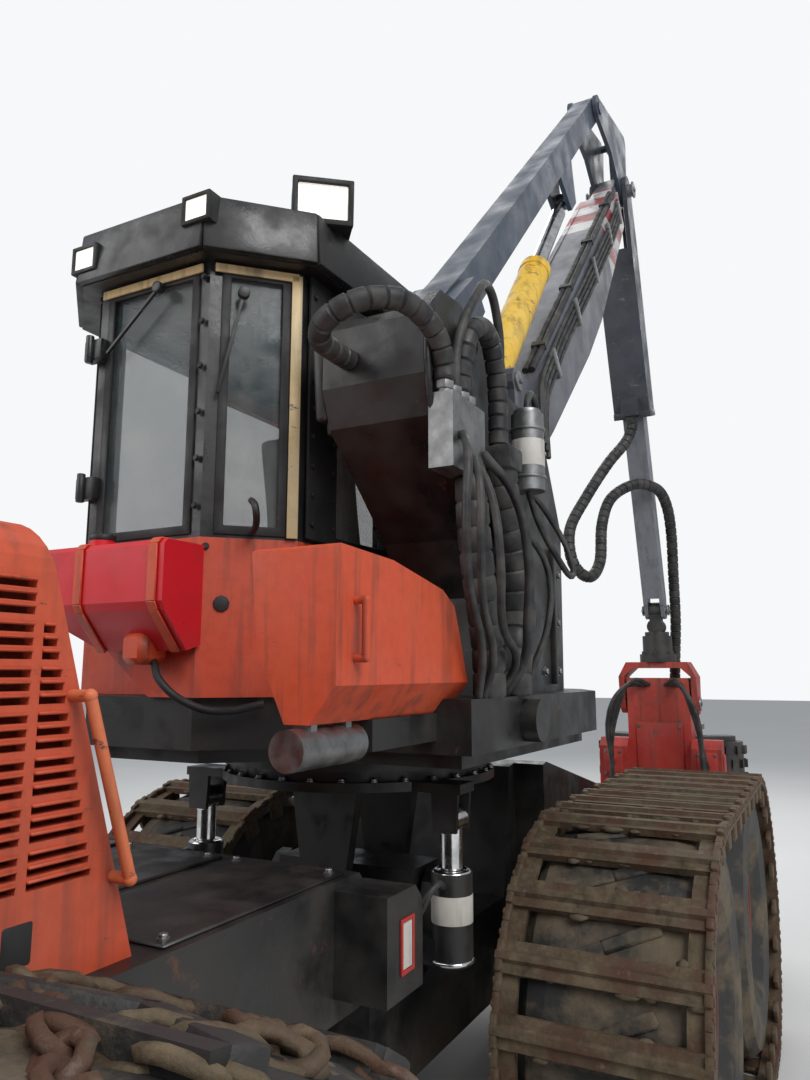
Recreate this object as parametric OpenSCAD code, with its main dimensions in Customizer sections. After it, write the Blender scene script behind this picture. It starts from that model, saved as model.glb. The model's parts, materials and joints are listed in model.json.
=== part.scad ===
// Forestry harvester: six wheels, frame steering, levelled turntable with cab and parallel crane.
// X points forward, Y to the left, Z up, and the ground is z = 0.
// Pieces are drawn with x = 0 on the slewing axis, and machine() moves them to their place.

/* [Chassis] */
// Place of the slewing axis along the machine
slew_x = -105; // [-600:5:600]
// Slewing axis to articulation pin, towards the rear
pivot_back = 650; // [560:10:760]
// Half width of the front frame's beam
beam_half = 300; // [240:5:330]
// Height of the front beam's top under the turntable
beam_top = 960; // [900:5:980]
// Height of the front beam's underside
beam_low = 560; // [500:5:640]
// Half width of the rear frame's deck
deck_half = 600; // [520:5:640]
// Height of the rear deck
deck_z = 1480; // [1400:5:1500]
// Length from the articulation pin to the rear bumper
rear_len = 3150; // [3000:10:3300]

/* [Front wheels and tracks] */
// Slewing axis to the middle of the bogie
bogie_x = 1210; // [1100:10:1300]
// Distance between the bogie's two wheel centres
bogie_gap = 1500; // [1440:10:1560]
// Radius of a front tyre
tyre_r = 670; // [640:5:700]
// Width of a tyre
tyre_w = 600; // [500:10:620]
// Radius of a front rim
rim_r = 345; // [320:5:360]
// Thickness of the band under the shoes
band_t = 20; // [14:1:26]
// Height of a track shoe
shoe_h = 35; // [25:1:45]
// Length of a track shoe along the band
shoe_l = 104; // [70:2:120]
// Number of shoes on each straight run
straight_shoes = 7; // [6:1:9]
// Number of shoes round each end
end_shoes = 10; // [9:1:13]
// Width of the band track
band_w = 700; // [640:10:720]
// Width of the band left and right of its open middle
strip_w = 80; // [60:5:120]
// Distance from the middle of the machine to the middle of a wheel
wheel_y = 1000; // [980:5:1040]

/* [Rear wheels] */
// Slewing axis to the rear axle
rear_axle_back = 2500; // [2440:10:2560]
// Distance from the middle of the machine to the middle of a rear wheel
rear_wheel_y = 1050; // [1030:5:1080]
// Radius of a rear tyre
rear_tyre_r = 822; // [790:2:840]
// Radius of a rear rim
rear_rim_r = 432; // [400:4:450]
// Thickness of the chain on the tread
chain_t = 28; // [20:1:36]
// Number of cross links in a chain
chain_links = 18; // [12:1:24]
// Radius of the chain's side ring
chain_ring_r = 672; // [620:4:720]

/* [Turntable] */
// Height of the levelling axes
level_z = 1180; // [1160:5:1200]
// Height of the tilt table's underside
table_z = 1590; // [1580:5:1610]
// Radius of the slewing ring
ring_r = 515; // [480:5:540]
// Levelling cylinders, distance behind the slewing axis
level_back = 290; // [280:5:300]
// Levelling cylinders, distance from the middle
level_y = 540; // [520:5:560]
// Radius of a levelling cylinder
level_r = 70; // [60:1:72]
// Height of the slewing platform's top
floor_z = 1920; // [1900:5:1940]

/* [Cab] */
// Height of the window sill
sill_z = 2420; // [2380:10:2480]
// Height of the cab walls' top
eaves_z = 3350; // [3300:10:3400]
// Height of the roof's top
roof_z = 3580; // [3540:10:3620]
// Thickness of the cab's walls
wall_t = 45; // [35:1:60]
// Width of a window post
post_w = 55; // [45:1:80]
// Rear edge of the door
door_x0 = -150; // [-250:10:0]
// Front edge of the door
door_x1 = 940; // [850:10:960]

/* [Crane] */
// Crane's middle plane, to the right of the slewing axis
crane_y = -550; // [-570:5:-540]
// Boom pivot ahead of the slewing axis
boom_x = 100; // [60:5:140]
// Boom pivot height
boom_z = 2870; // [2820:5:2920]
// Top link's pivot behind the boom pivot
link_back = 680; // [640:5:700]
// Top link's pivot above the boom pivot
link_up = 220; // [200:5:240]
// Length of the boom between its pivots
boom_len = 3606; // [3500:2:3700]
// Angle of the boom over the horizontal
boom_angle = 45.7; // [44:0.1:48]
// Width of the boom
boom_w = 260; // [240:4:264]
// Width of the top link
link_w = 130; // [110:2:140]
// Length of the jib from the boom's tip to the hanging pin
jib_len = 3134; // [3000:2:3200]
// Lean of the jib from the vertical
jib_lean = 18; // [16:0.1:20]
// Length of the jib's outer case
case_len = 1610; // [1560:5:1700]
// Size of the jib's square extension
ext_w = 150; // [130:2:160]
// Radius of the crane's main pins
pin_r = 45; // [36:1:50]

/* [Head] */
// Hanging pin to the rotator's underside
rotor_drop = 400; // [380:5:420]
// Hanging pin to the head's tilt axis
tilt_drop = 710; // [690:5:730]
// Half width of the head's spine
spine_half = 230; // [200:5:250]
// Height of the head's lowest edge
head_z = 550; // [520:5:600]
// Radius of a feed roller without its spikes
roller_r = 140; // [120:2:160]
// Height of a feed roller
roller_h = 420; // [360:5:460]

/* [Rear body] */
// Half width of the hood
hood_half = 550; // [500:5:580]
// Height of the hood's top
hood_z = 2260; // [2200:5:2300]
// Thickness of the hood's sheet
hood_t = 22; // [14:1:30]
// Number of louvre rows
louvre_rows = 18; // [9:3:18]

/* [Hidden] */
$fn = 48;
// Clearance of a turning or sliding fit
fit = 0.3;
wheel_z = tyre_r + band_t + shoe_h;
rear_wheel_z = rear_tyre_r + chain_t;
bogie_back_x = bogie_x - bogie_gap / 2;
ring_top = table_z + 70;
boom_w2 = boom_w / 2;
link_w2 = link_w / 2;
tip_x = boom_x + boom_len * cos(boom_angle);
tip_z = boom_z + boom_len * sin(boom_angle);
hang_x = tip_x + jib_len * sin(jib_lean);
hang_z = tip_z - jib_len * cos(jib_lean);
tilt_z = hang_z - tilt_drop;
BOOM_LINK = [-link_back, link_up];
// Cab outline seen from above, anticlockwise from the rear face's right end
CAB = [[-1000, 0], [-780, -220], [1000, -270], [1250, -120], [1250, 590], [1000, 740],
    [-780, 740], [-1000, 500]];

function unit(v) = v / norm(v);
function left_of(v) = unit([-v[1], v[0]]);
// Outline moved inwards by d, for an anticlockwise convex outline
function inset(p, d) = [for (i = [0 : len(p) - 1])
    let (a = p[(i + len(p) - 1) % len(p)], b = p[i], c = p[(i + 1) % len(p)],
        n = left_of(b - a), m = left_of(c - b))
    b + (n + m) * d / (1 + n * m)];
function arc(cx, cy, r, a0, a1, n = 6) =
    [for (i = [0 : n]) [cx + r * cos(a0 + (a1 - a0) * i / n), cy + r * sin(a0 + (a1 - a0) * i / n)]];

module machine() translate([slew_x, 0, 0]) children();
// Profile in x and z, extruded across from y0 to y1
module side(p, y0, y1) translate([0, y1, 0]) rotate([90, 0, 0]) linear_extrude(y1 - y0) polygon(p);
// Profile in x and y, extruded up from z0 to z1
module plan(p, z0, z1) translate([0, 0, z0]) linear_extrude(z1 - z0) polygon(p);
// Profile in y and z, extruded forward from x0 to x1
module section(p, x0, x1) translate([x0, 0, 0]) rotate([90, 0, 90]) linear_extrude(x1 - x0) polygon(p);
module block(x0, x1, y0, y1, z0, z1) translate([x0, y0, z0]) cube([x1 - x0, y1 - y0, z1 - z0]);
// Pin across the machine
module pin(x, z, r, y0, y1) translate([x, y0, z]) rotate([-90, 0, 0]) cylinder(r = r, h = y1 - y0);
// Pin along the machine
module pin_x(y, z, r, x0, x1) translate([x0, y, z]) rotate([0, 90, 0]) cylinder(r = r, h = x1 - x0);
// Round bar between two points
module bar(p, q, r) {
    d = q - p;
    translate(p) rotate([0, acos(d[2] / norm(d)), atan2(d[1], d[0])]) cylinder(r = r, h = norm(d));
}
// Round bar bent along points, with ball corners
module bent(p, r, knob = 0) {
    for (i = [0 : len(p) - 2]) bar(p[i], p[i + 1], r);
    for (i = [1 : len(p) - 2]) translate(p[i]) sphere(r = r + knob);
}
// Local frame on the crane's plane: x runs along the piece, z square to it
module on_crane(x, z, angle) translate([x, crane_y, z]) rotate([0, -angle, 0]) children();
module on_boom() on_crane(boom_x, boom_z, boom_angle) children();
module on_jib() on_crane(tip_x, tip_z, jib_lean - 90) children();
module hanging() translate([hang_x, crane_y, hang_z]) children();
module mirrored(side_sign) mirror([0, side_sign < 0 ? 1 : 0, 0]) children();
// Smooth path through points, and a tube swept along it
function spline(a, b, c, d, t) = 0.5 * ((2 * b) + (c - a) * t + (2 * a - 5 * b + 4 * c - d) * t * t
    + (3 * b - a - 3 * c + d) * t * t * t);
function smooth_path(p, n) = let (k = len(p)) concat([for (i = [0 : k - 2], j = [0 : n - 1])
    spline(p[max(i - 1, 0)], p[i], p[i + 1], p[min(i + 2, k - 1)], j / n)], [p[k - 1]]);
function heading(p, i) = unit(p[min(i + 1, len(p) - 1)] - p[max(i - 1, 0)]);
// Ring of points square to the path, its first axis kept near the given one
function ring(c, h, r, sides, ref) = let (a = unit(cross(h, ref)), b = cross(a, h))
    [for (k = [0 : sides - 1]) c + r * (cos(360 * k / sides) * a + sin(360 * k / sides) * b)];
module hose(points, r, steps = 3, sides = 8, ref = [0, 1, 0]) {
    path = smooth_path(points, steps);
    n = len(path);
    rings = [for (i = [0 : n - 1]) each ring(path[i], heading(path, i), r, sides, ref)];
    walls = [for (i = [0 : n - 2], k = [0 : sides - 1]) let (m = (k + 1) % sides)
        [i * sides + k, i * sides + m, (i + 1) * sides + m, (i + 1) * sides + k]];
    ends = [[for (k = [sides - 1 : -1 : 0]) k], [for (k = [0 : sides - 1]) (n - 1) * sides + k]];
    polyhedron(rings, concat(walls, ends));
}

// Front frame: beam, front box, articulation fork and the levelling ears
FORK_Z = [600, 680, 880, 960];
EAR_Y = [320, 372];
TOW = [2530, 650];
module front_frame() machine() color([0.13, 0.13, 0.14]) {
    fork_r = 220;
    difference() {
        union() {
            side([[-430, FORK_Z[0]], [-100, beam_low], [2200, beam_low], [2420, 700], [2420, 1180],
                [2250, 1300], [1050, 1560], [930, 1540], [830, beam_top], [-430, beam_top]],
                -beam_half, beam_half);
            side([[1000, 940], [2300, 940], [2300, 1270], [2200, 1300], [1050, 1560], [1000, 1550]], -450, 450);
            for (z = [FORK_Z[0], FORK_Z[2]]) translate([0, 0, z]) {
                translate([-pivot_back, 0, 0]) cylinder(r = fork_r, h = 80);
                translate([-pivot_back, -fork_r, 0]) cube([pivot_back - 400, 2 * fork_r, 80]);
            }
            for (s = [-1, 1]) mirrored(s) {
                side(concat([[-150, 900], [150, 900]], arc(0, level_z, 90, 0, 180)), EAR_Y[0], EAR_Y[1]);
                block(-150, 150, beam_half - 1, EAR_Y[1], 880, 940);
            }
            // Underrun plate and tow eye at the front
            side([[2200, beam_low], [2420, 700], [2480, 700], [2480, 640], [2230, beam_low - 40]], -380, 380);
            translate([TOW[0], 0, TOW[1] - 20]) cylinder(r = 50, h = 40);
            block(2400, TOW[0], -50, 50, TOW[1] - 20, TOW[1] + 20);
        }
        translate([TOW[0], 0, TOW[1] - 30]) cylinder(r = 22, h = 60);
        pin(0, level_z, pin_r + fit, -EAR_Y[1] - 1, EAR_Y[1] + 1);
    }
    translate([-pivot_back, 0, FORK_Z[0] - 20]) cylinder(r = 60, h = FORK_Z[3] - FORK_Z[0] + 40);
}

// Bogie beams: one portal box on each side with its two hubs
module bogie_beams() machine() color([0.15, 0.15, 0.16]) for (s = [-1, 1]) mirrored(s) {
    inner_y = 480;
    outer_y = 620;
    x0 = bogie_back_x;
    x1 = bogie_back_x + bogie_gap;
    side(concat(arc(x0, wheel_z, 190, 90, 270), [[bogie_x, wheel_z - 130]], arc(x1, wheel_z, 190, -90, 90),
        [[bogie_x + 250, wheel_z + 290], [bogie_x - 250, wheel_z + 290]]), inner_y, outer_y);
    pin(bogie_x, 760, 170, beam_half, inner_y);
    for (x = [x0, x1]) pin(x, wheel_z, 150, outer_y, wheel_y + disc_y);
}

module tyre(r, rim, w) rotate([90, 0, 0]) rotate_extrude($fn = 64) polygon([[rim, -w * 0.38],
    [rim + (r - rim) * 0.25, -w * 0.47], [rim + (r - rim) * 0.55, -w / 2], [r - 55, -w * 0.48],
    [r - 14, -w * 0.41], [r, -w * 0.3], [r, w * 0.3], [r - 14, w * 0.41], [r - 55, w * 0.48],
    [rim + (r - rim) * 0.55, w / 2], [rim + (r - rim) * 0.25, w * 0.47], [rim, w * 0.38]]);
// Rim and disc; the outer face is towards -y before a turn
disc_y = 40;
module rim(r, w) rotate([90, 0, 0]) rotate_extrude($fn = 64) polygon([[0, disc_y], [r - 90, disc_y],
    [r - 60, -w * 0.38], [r - fit, -w * 0.38], [r - fit, w * 0.38], [r - 26, w * 0.38],
    [r - 46, 75], [190, 75], [175, 150], [120, 165], [0, 165]]);

module front_tyres() machine() color([0.1, 0.1, 0.1])
    for (s = [-1, 1], x = [0, bogie_gap]) translate([bogie_back_x + x, s * wheel_y, wheel_z])
        tyre(tyre_r, rim_r, tyre_w);
module front_rims() machine() color([0.55, 0.12, 0.1])
    for (s = [-1, 1], x = [0, bogie_gap]) translate([bogie_back_x + x, s * wheel_y, wheel_z])
        rotate(s > 0 ? 180 : 0) rim(rim_r, tyre_w);

// Band track: two bands round both tyres, joined by the shoes across them
module stadium(r) {
    circle(r = r, $fn = 96);
    translate([bogie_gap, 0]) circle(r = r, $fn = 96);
    translate([0, -r]) square([bogie_gap, 2 * r]);
}
module shoe_2d(r) translate([r - 10, 0]) polygon([[0, -shoe_l / 2], [shoe_h * 0.5 + 10, -shoe_l / 2],
    [shoe_h * 0.55 + 10, -shoe_l / 5], [shoe_h + 10, -shoe_l / 9], [shoe_h + 10, shoe_l / 9],
    [shoe_h * 0.55 + 10, shoe_l / 5], [shoe_h * 0.5 + 10, shoe_l / 2], [0, shoe_l / 2]]);
module band_track(s) {
    band_r = tyre_r + band_t;
    step = bogie_gap / straight_shoes;
    translate([bogie_back_x, s * wheel_y, wheel_z]) rotate([90, 0, 0]) {
        for (y = [-band_w / 2, band_w / 2 - strip_w]) translate([0, 0, y]) linear_extrude(strip_w) difference() {
            stadium(band_r);
            stadium(tyre_r + fit);
        }
        translate([0, 0, -band_w / 2]) linear_extrude(band_w) {
            for (i = [0.5 : straight_shoes], a = [90, -90])
                translate([i * step, 0]) rotate(a) shoe_2d(band_r);
            for (i = [0.5 : end_shoes]) {
                rotate(90 + i * 180 / end_shoes) shoe_2d(band_r);
                translate([bogie_gap, 0]) rotate(-90 + i * 180 / end_shoes) shoe_2d(band_r);
            }
        }
    }
}
module band_track_left() machine() color([0.25, 0.2, 0.16]) band_track(1);
module band_track_right() machine() color([0.25, 0.2, 0.16]) band_track(-1);

// Levelling cross: pitch trunnions across, roll trunnions along, and the two cylinders' barrels
BARREL_TOP = 1330;
module level_cross() machine() color([0.14, 0.14, 0.15]) {
    pin(0, level_z, pin_r, -EAR_Y[1] - 20, EAR_Y[1] + 20);
    block(-120, 120, -300, 300, level_z - 90, level_z + 90);
    pin_x(0, level_z, pin_r, -265, 265);
    for (s = [-1, 1]) mirrored(s) {
        block(-level_back - 60, -110, 190, 280, level_z - 90, level_z - 20);
        translate([-level_back, level_y, 0]) difference() {
            translate([0, 0, 1040]) cylinder(r = level_r, h = BARREL_TOP - 1040);
            translate([0, 0, 1090]) cylinder(r = 38 + fit, h = BARREL_TOP);
        }
    }
    difference() {
        block(-level_back - 60, -level_back + 20, -level_y, level_y, level_z - 140, level_z - 60);
        for (s = [-1, 1]) translate([-level_back, s * level_y, 1090]) cylinder(r = 38 + fit, h = 400);
    }
}
module level_rod(s) translate([-level_back, s * level_y, 0]) {
    translate([0, 0, 1180]) cylinder(r = 38, h = 300);
    translate([-41, 0, 1500]) rotate([0, 90, 0]) cylinder(r = 46, h = 82);
}
module level_rod_left() machine() color([0.75, 0.75, 0.77]) level_rod(1);
module level_rod_right() machine() color([0.75, 0.75, 0.77]) level_rod(-1);

// Tilt table: plate with its ears, and the slewing ring
module tilt_table() machine() color([0.16, 0.16, 0.17]) {
    plate_t = 32;
    translate([0, 0, table_z]) cylinder(r = 545, h = plate_t);
    translate([0, 0, table_z + plate_t]) cylinder(r = ring_r, h = ring_top - table_z - plate_t);
    for (s = [-1, 1]) {
        mirrored(s) {
            block(-level_back - 60, -level_back + 60, 350, level_y + 60, table_z, table_z + plate_t);
            for (x = [-58, 42]) translate([-level_back + x, level_y, 0])
                section([[-50, table_z], [50, table_z], [42, 1462], [-42, 1462]], 0, 16);
        }
        difference() {
            section(concat([[-150, table_z + 5]], arc(0, level_z, 85, 180, 360), [[150, table_z + 5]]),
                s * 237 - 25, s * 237 + 25);
            pin_x(0, level_z, pin_r + fit, -300, 300);
        }
    }
}

// Slewing platform: turntable plate, deck and the crane's foot
PLATFORM = [[-740, -810], [500, -850], [820, -700], [1150, -250], [1150, 580], [950, 720], [-760, 720],
    [-980, 480], [-980, 20], [-740, -240]];
module slew_platform() machine() color([0.13, 0.13, 0.14]) {
    translate([0, 0, ring_top + fit]) cylinder(r = 560, h = 60);
    plan(inset(PLATFORM, 60), 1715, 1780);
    plan(PLATFORM, 1760, floor_z);
    // Bracket that carries the valve cover behind the deck
    block(-1120, -735, -700, -600, 1800, 1880 - fit);
    // Round beam end at the right edge
    pin(-300, 1840, 70, -880, -800);
}

// Cab, split at the sill: a tub below, a window frame above
module cab_wall_cut(i, z0, z1, post) {
    a = CAB[i];
    b = CAB[(i + 1) % len(CAB)];
    d = b - a;
    translate([a[0], a[1], z0]) rotate(atan2(d[1], d[0]))
        translate([post, -10, 0]) cube([norm(d) - 2 * post, wall_t + 25, z1 - z0]);
}
// Door opening in the left wall, with a running gap round the door
module door_cut(gap) block(door_x0 - gap, door_x1 + gap, 740 - wall_t - 30, 800, 1975 - gap, 3325 + gap);
module cab_tub() machine() color([0.72, 0.2, 0.08]) difference() {
    plan(CAB, floor_z, sill_z);
    difference() {
        plan(inset(CAB, wall_t), floor_z + wall_t, sill_z + 1);
        section([[20, 1880], [520, 2262], [900, 2262], [900, 1880]], -1100, -735);
    }
    // The rear corner under the tank slopes up to the left
    section([[135, 1880], [555, 2202], [900, 2202], [900, 1880]], -1100, -790);
    door_cut(6);
    // Foot window low in the front wall
    block(1150, 1300, -60, 530, 2060, sill_z + 1);
}
WINDOW_Z = [sill_z + 25, eaves_z - 35];
module cab_frame() machine() color([0.12, 0.12, 0.13]) difference() {
    plan(CAB, sill_z, eaves_z);
    plan(inset(CAB, wall_t), sill_z - 1, eaves_z + 1);
    for (i = [0 : len(CAB) - 1]) if (i != 5) cab_wall_cut(i, WINDOW_Z[0], WINDOW_Z[1], post_w);
    door_cut(6);
    block(1150, 1300, -60, 530, sill_z - 1, sill_z + 60);
    // Fixed window behind the door
    block(-700, door_x0 - 80, 650, 800, WINDOW_Z[0], WINDOW_Z[1]);
}
// Square rear lamps, y and z of each middle
LAMPS = [[500, 3440], [-10, 3492]];
module side_lamp() translate([-700, -235, 3500]) rotate(38) rotate([0, -6, 0]) children();
module cab_roof() machine() color([0.1, 0.1, 0.11]) {
    plan(inset(CAB, -70), eaves_z, eaves_z + 90);
    plan(inset(CAB, -25), eaves_z + 90, roof_z - 60);
    plan(inset(CAB, 60), roof_z - 60, roof_z);
    // Lamp boxes in the rear edge, and one turned outwards on the right
    for (p = LAMPS) block(-1086, -980, p[0] - 58, p[0] + 58, p[1] - 50, p[1] + 50);
    side_lamp() {
        block(-70, 70, -105, 105, 40, 200);
        block(-20, 20, -30, 30, -90, 41);
    }
}
module work_lamps() machine() color([0.95, 0.93, 0.85]) {
    for (p = LAMPS) block(-1092, -1086, p[0] - 46, p[0] + 46, p[1] - 38, p[1] + 38);
    side_lamp() block(-76, -70, -92, 92, 55, 185);
    for (y = [-60, 120, 300, 480]) block(1320, 1335, y, y + 110, eaves_z + 5, eaves_z + 85);
}
module pane(i, z0, z1) {
    a = CAB[i];
    b = CAB[(i + 1) % len(CAB)];
    d = b - a;
    translate([a[0], a[1], z0 + fit]) rotate(atan2(d[1], d[0]))
        translate([post_w + fit, 12, 0]) cube([norm(d) - 2 * post_w - 2 * fit, 10, z1 - z0 - 2 * fit]);
}
module cab_glass() machine() color([0.45, 0.55, 0.6, 0.5]) {
    for (i = [0 : len(CAB) - 1]) if (i != 5 && i != 3) pane(i, WINDOW_Z[0], WINDOW_Z[1]);
    block(1228, 1238, -60 + fit, 530 - fit, 2060 + fit, sill_z + 60 - fit);
    pane(3, sill_z + 60, WINDOW_Z[1]);
    block(-700 + fit, door_x0 - 80 - fit, 718, 728, WINDOW_Z[0] + fit, WINDOW_Z[1] - fit);
}
module cab_door() machine() color([0.7, 0.17, 0.07]) {
    difference() {
        block(door_x0, door_x1, 740 - wall_t + 5, 740, 1975, 3325);
        block(door_x0 + 70, door_x1 - 70, 600, 800, 2180, 3255);
    }
    // Handle and two hinge leaves
    bent([[door_x1 - 60, 740, 2100], [door_x1 - 60, 775, 2100], [door_x1 - 60, 775, 2250],
        [door_x1 - 60, 740, 2250]], 10);
    for (z = [2150, 3050]) translate([door_x0 - 8, 752.5, z]) cylinder(r = 12, h = 110);
    for (z = [2150, 3050]) block(door_x0, door_x0 + 60, 738, 752, z, z + 110);
}
module door_glass() machine() color([0.45, 0.55, 0.6, 0.5])
    block(door_x0 + 70 + fit, door_x1 - 70 - fit, 712, 722, 2180 + fit, 3255 - fit);
module seat() machine() color([0.35, 0.34, 0.32]) {
    plan([[60, 80], [420, 80], [420, 440], [60, 440]], floor_z + wall_t, 2330);
    side([[-10, 2330], [520, 2330], [545, 2400], [500, 2450], [0, 2430]], 10, 510);
    side([[-10, 2390], [100, 2410], [10, 3000], [-60, 3080], [-130, 3060], [-130, 2960]], 30, 490);
    for (y = [-80, 520]) {
        block(80, 560, y, y + 80, 2559, 2620);
        block(180, 300, y + 10, y + 70, 2380, 2560);
        translate([480, y + 40, 2620]) cylinder(r = 22, h = 110);
    }
    for (y = [-10, 490]) block(180, 300, y, y + 40, 2380, 2420);
}
module rear_tank() machine() color([0.75, 0.06, 0.05]) {
    intersection() {
        side([[-1000 - fit, 2080], [-1060, 2062], [-1160, 2180], [-1172, 2205], [-1172, 2374], [-1158, 2390],
            [-1000 - fit, 2390]], -20, 560);
        section([[-20, 2040], [330, 2060], [545, 2195], [560, 2220], [560, 2400], [-20, 2400]], -1200, -990);
    }
    translate([-1090, 330, 2389]) cylinder(r = 40, h = 30);
}
module valve_cover() machine() color([0.72, 0.2, 0.08]) {
    intersection() {
        side([[-1390, 1880], [-745, 1880], [-745, floor_z + fit], [-655, floor_z + fit], [-640, 1945], [-700, 2100],
            [-740, 2190], [-820, 2232], [-1120, 2282], [-1375, 2292], [-1390, 2284]], -760, -500);
        section([[-515, 2300], [-540, 2050], [-622, 1879], [-690, 1879], [-760, 1968], [-760, 2300]], -1400, -600);
    }
    bent([[-1310, -759, 2165], [-1310, -790, 2165], [-1310, -790, 2030], [-1310, -759, 2030]], 10);
}
module canister() machine() color([0.7, 0.7, 0.7]) {
    pin_x(-665, 1826, 47, -1440, -1160);
    for (x = [-1380, -1230]) block(x, x + 24, -690, -640, 1865, 1880 - fit);
}

// Crane pillar: two plates with a rear panel, carrying the boom's and the top link's pins
PILLAR_Y = [crane_y - 180, crane_y + 180];
module pillar() machine() color([0.1, 0.1, 0.11]) {
    cheek = 42;
    difference() {
        side([[-380, floor_z], [450, floor_z], [470, 2600], [260, 2960], [80, 3010], [-330, 3030],
            [-450, 3180], [-620, 3205], [-760, 3190], [-875, 3070], [-875, 2880], [-830, 2760], [-460, 2440],
            [-350, 2250]], PILLAR_Y[0], PILLAR_Y[1]);
        side([[-335, floor_z + 40], [410, floor_z + 40], [430, 2540], [700, 3200], [-400, 3500],
            [-830, 3500], [-830, 2890], [-790, 2782], [-418, 2460], [-308, 2255]],
            PILLAR_Y[0] + cheek, PILLAR_Y[1] - cheek);
        side([[-270, 2060], [250, 2060], [280, 2450], [-370, 2450], [-270, 2250]], PILLAR_Y[1] - cheek - 1,
            PILLAR_Y[1] + 1);
    }
    pin(boom_x, boom_z, pin_r, PILLAR_Y[0] - 20, PILLAR_Y[1] + 20);
    pin(boom_x - link_back, boom_z + link_up, pin_r, PILLAR_Y[0] - 20, PILLAR_Y[1] + 20);
}
module valve_block() machine() color([0.5, 0.5, 0.52]) {
    block(-850, -600, -810, PILLAR_Y[0], 2590, 2820);
    for (x = [-820, -760, -700, -650]) translate([x, -770, 2820]) cylinder(r = 24, h = 40);
    // Filter with its bracket below the boom's pin
    translate([-150, -800, 2650]) cylinder(r = 60, h = 290);
    block(-180, -120, -745, PILLAR_Y[0], 2700, 2800);
}
HOSE_A = [[-820, -770, 2860.3], [-820, -770, 2885], [-820, -770, 2910], [-880, -765, 3000], [-1000, -725, 3050],
    [-1100, -640, 3030], [-1120, -540, 2985], [-1060, -480, 2962], [-980, -470, 2960], [-930, -470, 2960],
    [-875.3, -470, 2960]];
HOSE_B = [[-700, -770, 2860.3], [-700, -770, 2885], [-700, -770, 2910], [-700, -778, 2965], [-680, -790, 3050],
    [-610, -800, 3110], [-520, -800, 3100], [-460, -797, 3010], [-440, -795, 2920], [-440, -795, 2830],
    [-440, -795, 2770], [-440, -795, 2700]];
HOSE_C = [[-680, -795, 2589.7], [-680, -795, 2560], [-680, -795, 2530], [-670, -795, 2440], [-640, -795, 2310],
    [-600, -795, 2180], [-570, -795, 2080], [-560, -795, 2010], [-560, -795, 1960], [-560, -795, 1920.3]];
HOSE_D = [[-440, -795, 2690], [-430, -795, 2620], [-390, -795, 2520], [-320, -795, 2380], [-280, -795, 2200],
    [-320, -795, 2060], [-340, -795, 2000], [-340, -795, 1960], [-340, -795, 1920.3]];
module pillar_hoses() machine() color([0.08, 0.08, 0.08]) {
    hose(HOSE_A, 34);
    hose(HOSE_B, 34);
    hose(HOSE_C, 52);
    hose(HOSE_D, 60);
    // Clamp that holds the hoses to the pillar
    block(-500, -380, -860, PILLAR_Y[0], 2660, 2740);
}

// Main boom: banana box with the lift cylinder's lugs on its top
LIFT_FOOT = [217, 215];
LIFT_EYE = [2170, 390];
lift_len = norm(LIFT_EYE - LIFT_FOOT);
lift_angle = atan2(LIFT_EYE[1] - LIFT_FOOT[1], LIFT_EYE[0] - LIFT_FOOT[0]);
lift_r = 75;
lift_barrel_len = 1080;
rod_r = 40;
module main_boom() machine() color([0.2, 0.2, 0.21]) on_boom() {
    difference() {
        union() {
            side(concat(arc(0, 0, 125, 100, 260, 10), [[500, -190], [1450, -265], [1900, -265], [2500, -200],
                [3150, -122]], arc(boom_len, 0, 105, -80, 80, 8), [[3000, 125], [600, 125]]), -boom_w2, boom_w2);
            for (y = [-boom_w2, 90]) side(concat([[60, 100], [400, 100]], arc(LIFT_FOOT[0], LIFT_FOOT[1], 62, 0, 180)),
                y, y + boom_w2 - 90);
        }
        pin(0, 0, pin_r + fit, -boom_w2 - 1, boom_w2 + 1);
        pin(boom_len, 0, pin_r + fit, -boom_w2 - 1, boom_w2 + 1);
        // The tip narrows between the tip bracket's cheeks
        for (s = [-1, 1]) mirrored(s) block(boom_len - 430, boom_len + 200, link_w2, 200, -300, 300);
    }
    pin(LIFT_FOOT[0], LIFT_FOOT[1], 30, -boom_w2, boom_w2);
}
module boom_hoses() machine() color([0.08, 0.08, 0.08]) on_boom() {
    for (y = [-115, -82]) bar([480, y, 139.3], [3130, y, 139.3], 14);
    for (x = [700, 1400, 2100, 2800]) block(x, x + 40, -132, -64, 125, 159);
}
module on_lift() on_boom() translate([LIFT_FOOT[0], 0, LIFT_FOOT[1]]) rotate([0, 90 - lift_angle, 0])
    children();
module lift_barrel() machine() color([0.78, 0.6, 0.1]) on_lift() difference() {
    union() {
        rotate_extrude() polygon([[0, 55], [lift_r - 15, 55], [lift_r, 90], [lift_r, lift_barrel_len - 60],
            [lift_r + 4, lift_barrel_len - 60], [lift_r + 4, lift_barrel_len], [0, lift_barrel_len]]);
        translate([0, 85, 0]) rotate([90, 0, 0]) cylinder(r = 58, h = 170);
    }
    translate([0, 100, 0]) rotate([90, 0, 0]) cylinder(r = 30 + fit, h = 200);
    translate([0, 0, 100]) cylinder(r = 56, h = lift_barrel_len - 160);
    translate([0, 0, 90]) cylinder(r = rod_r + fit, h = lift_barrel_len);
}
module lift_rod() machine() color([0.8, 0.8, 0.82]) on_lift() {
    rotate_extrude() polygon([[0, 600], [55, 600], [55, 660], [rod_r, 660], [rod_r, lift_len - 170],
        [26, lift_len - 150], [26, lift_len - 20], [0, lift_len - 20]]);
    translate([0, 27, lift_len]) rotate([90, 0, 0]) cylinder(r = 48, h = 54);
}
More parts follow.
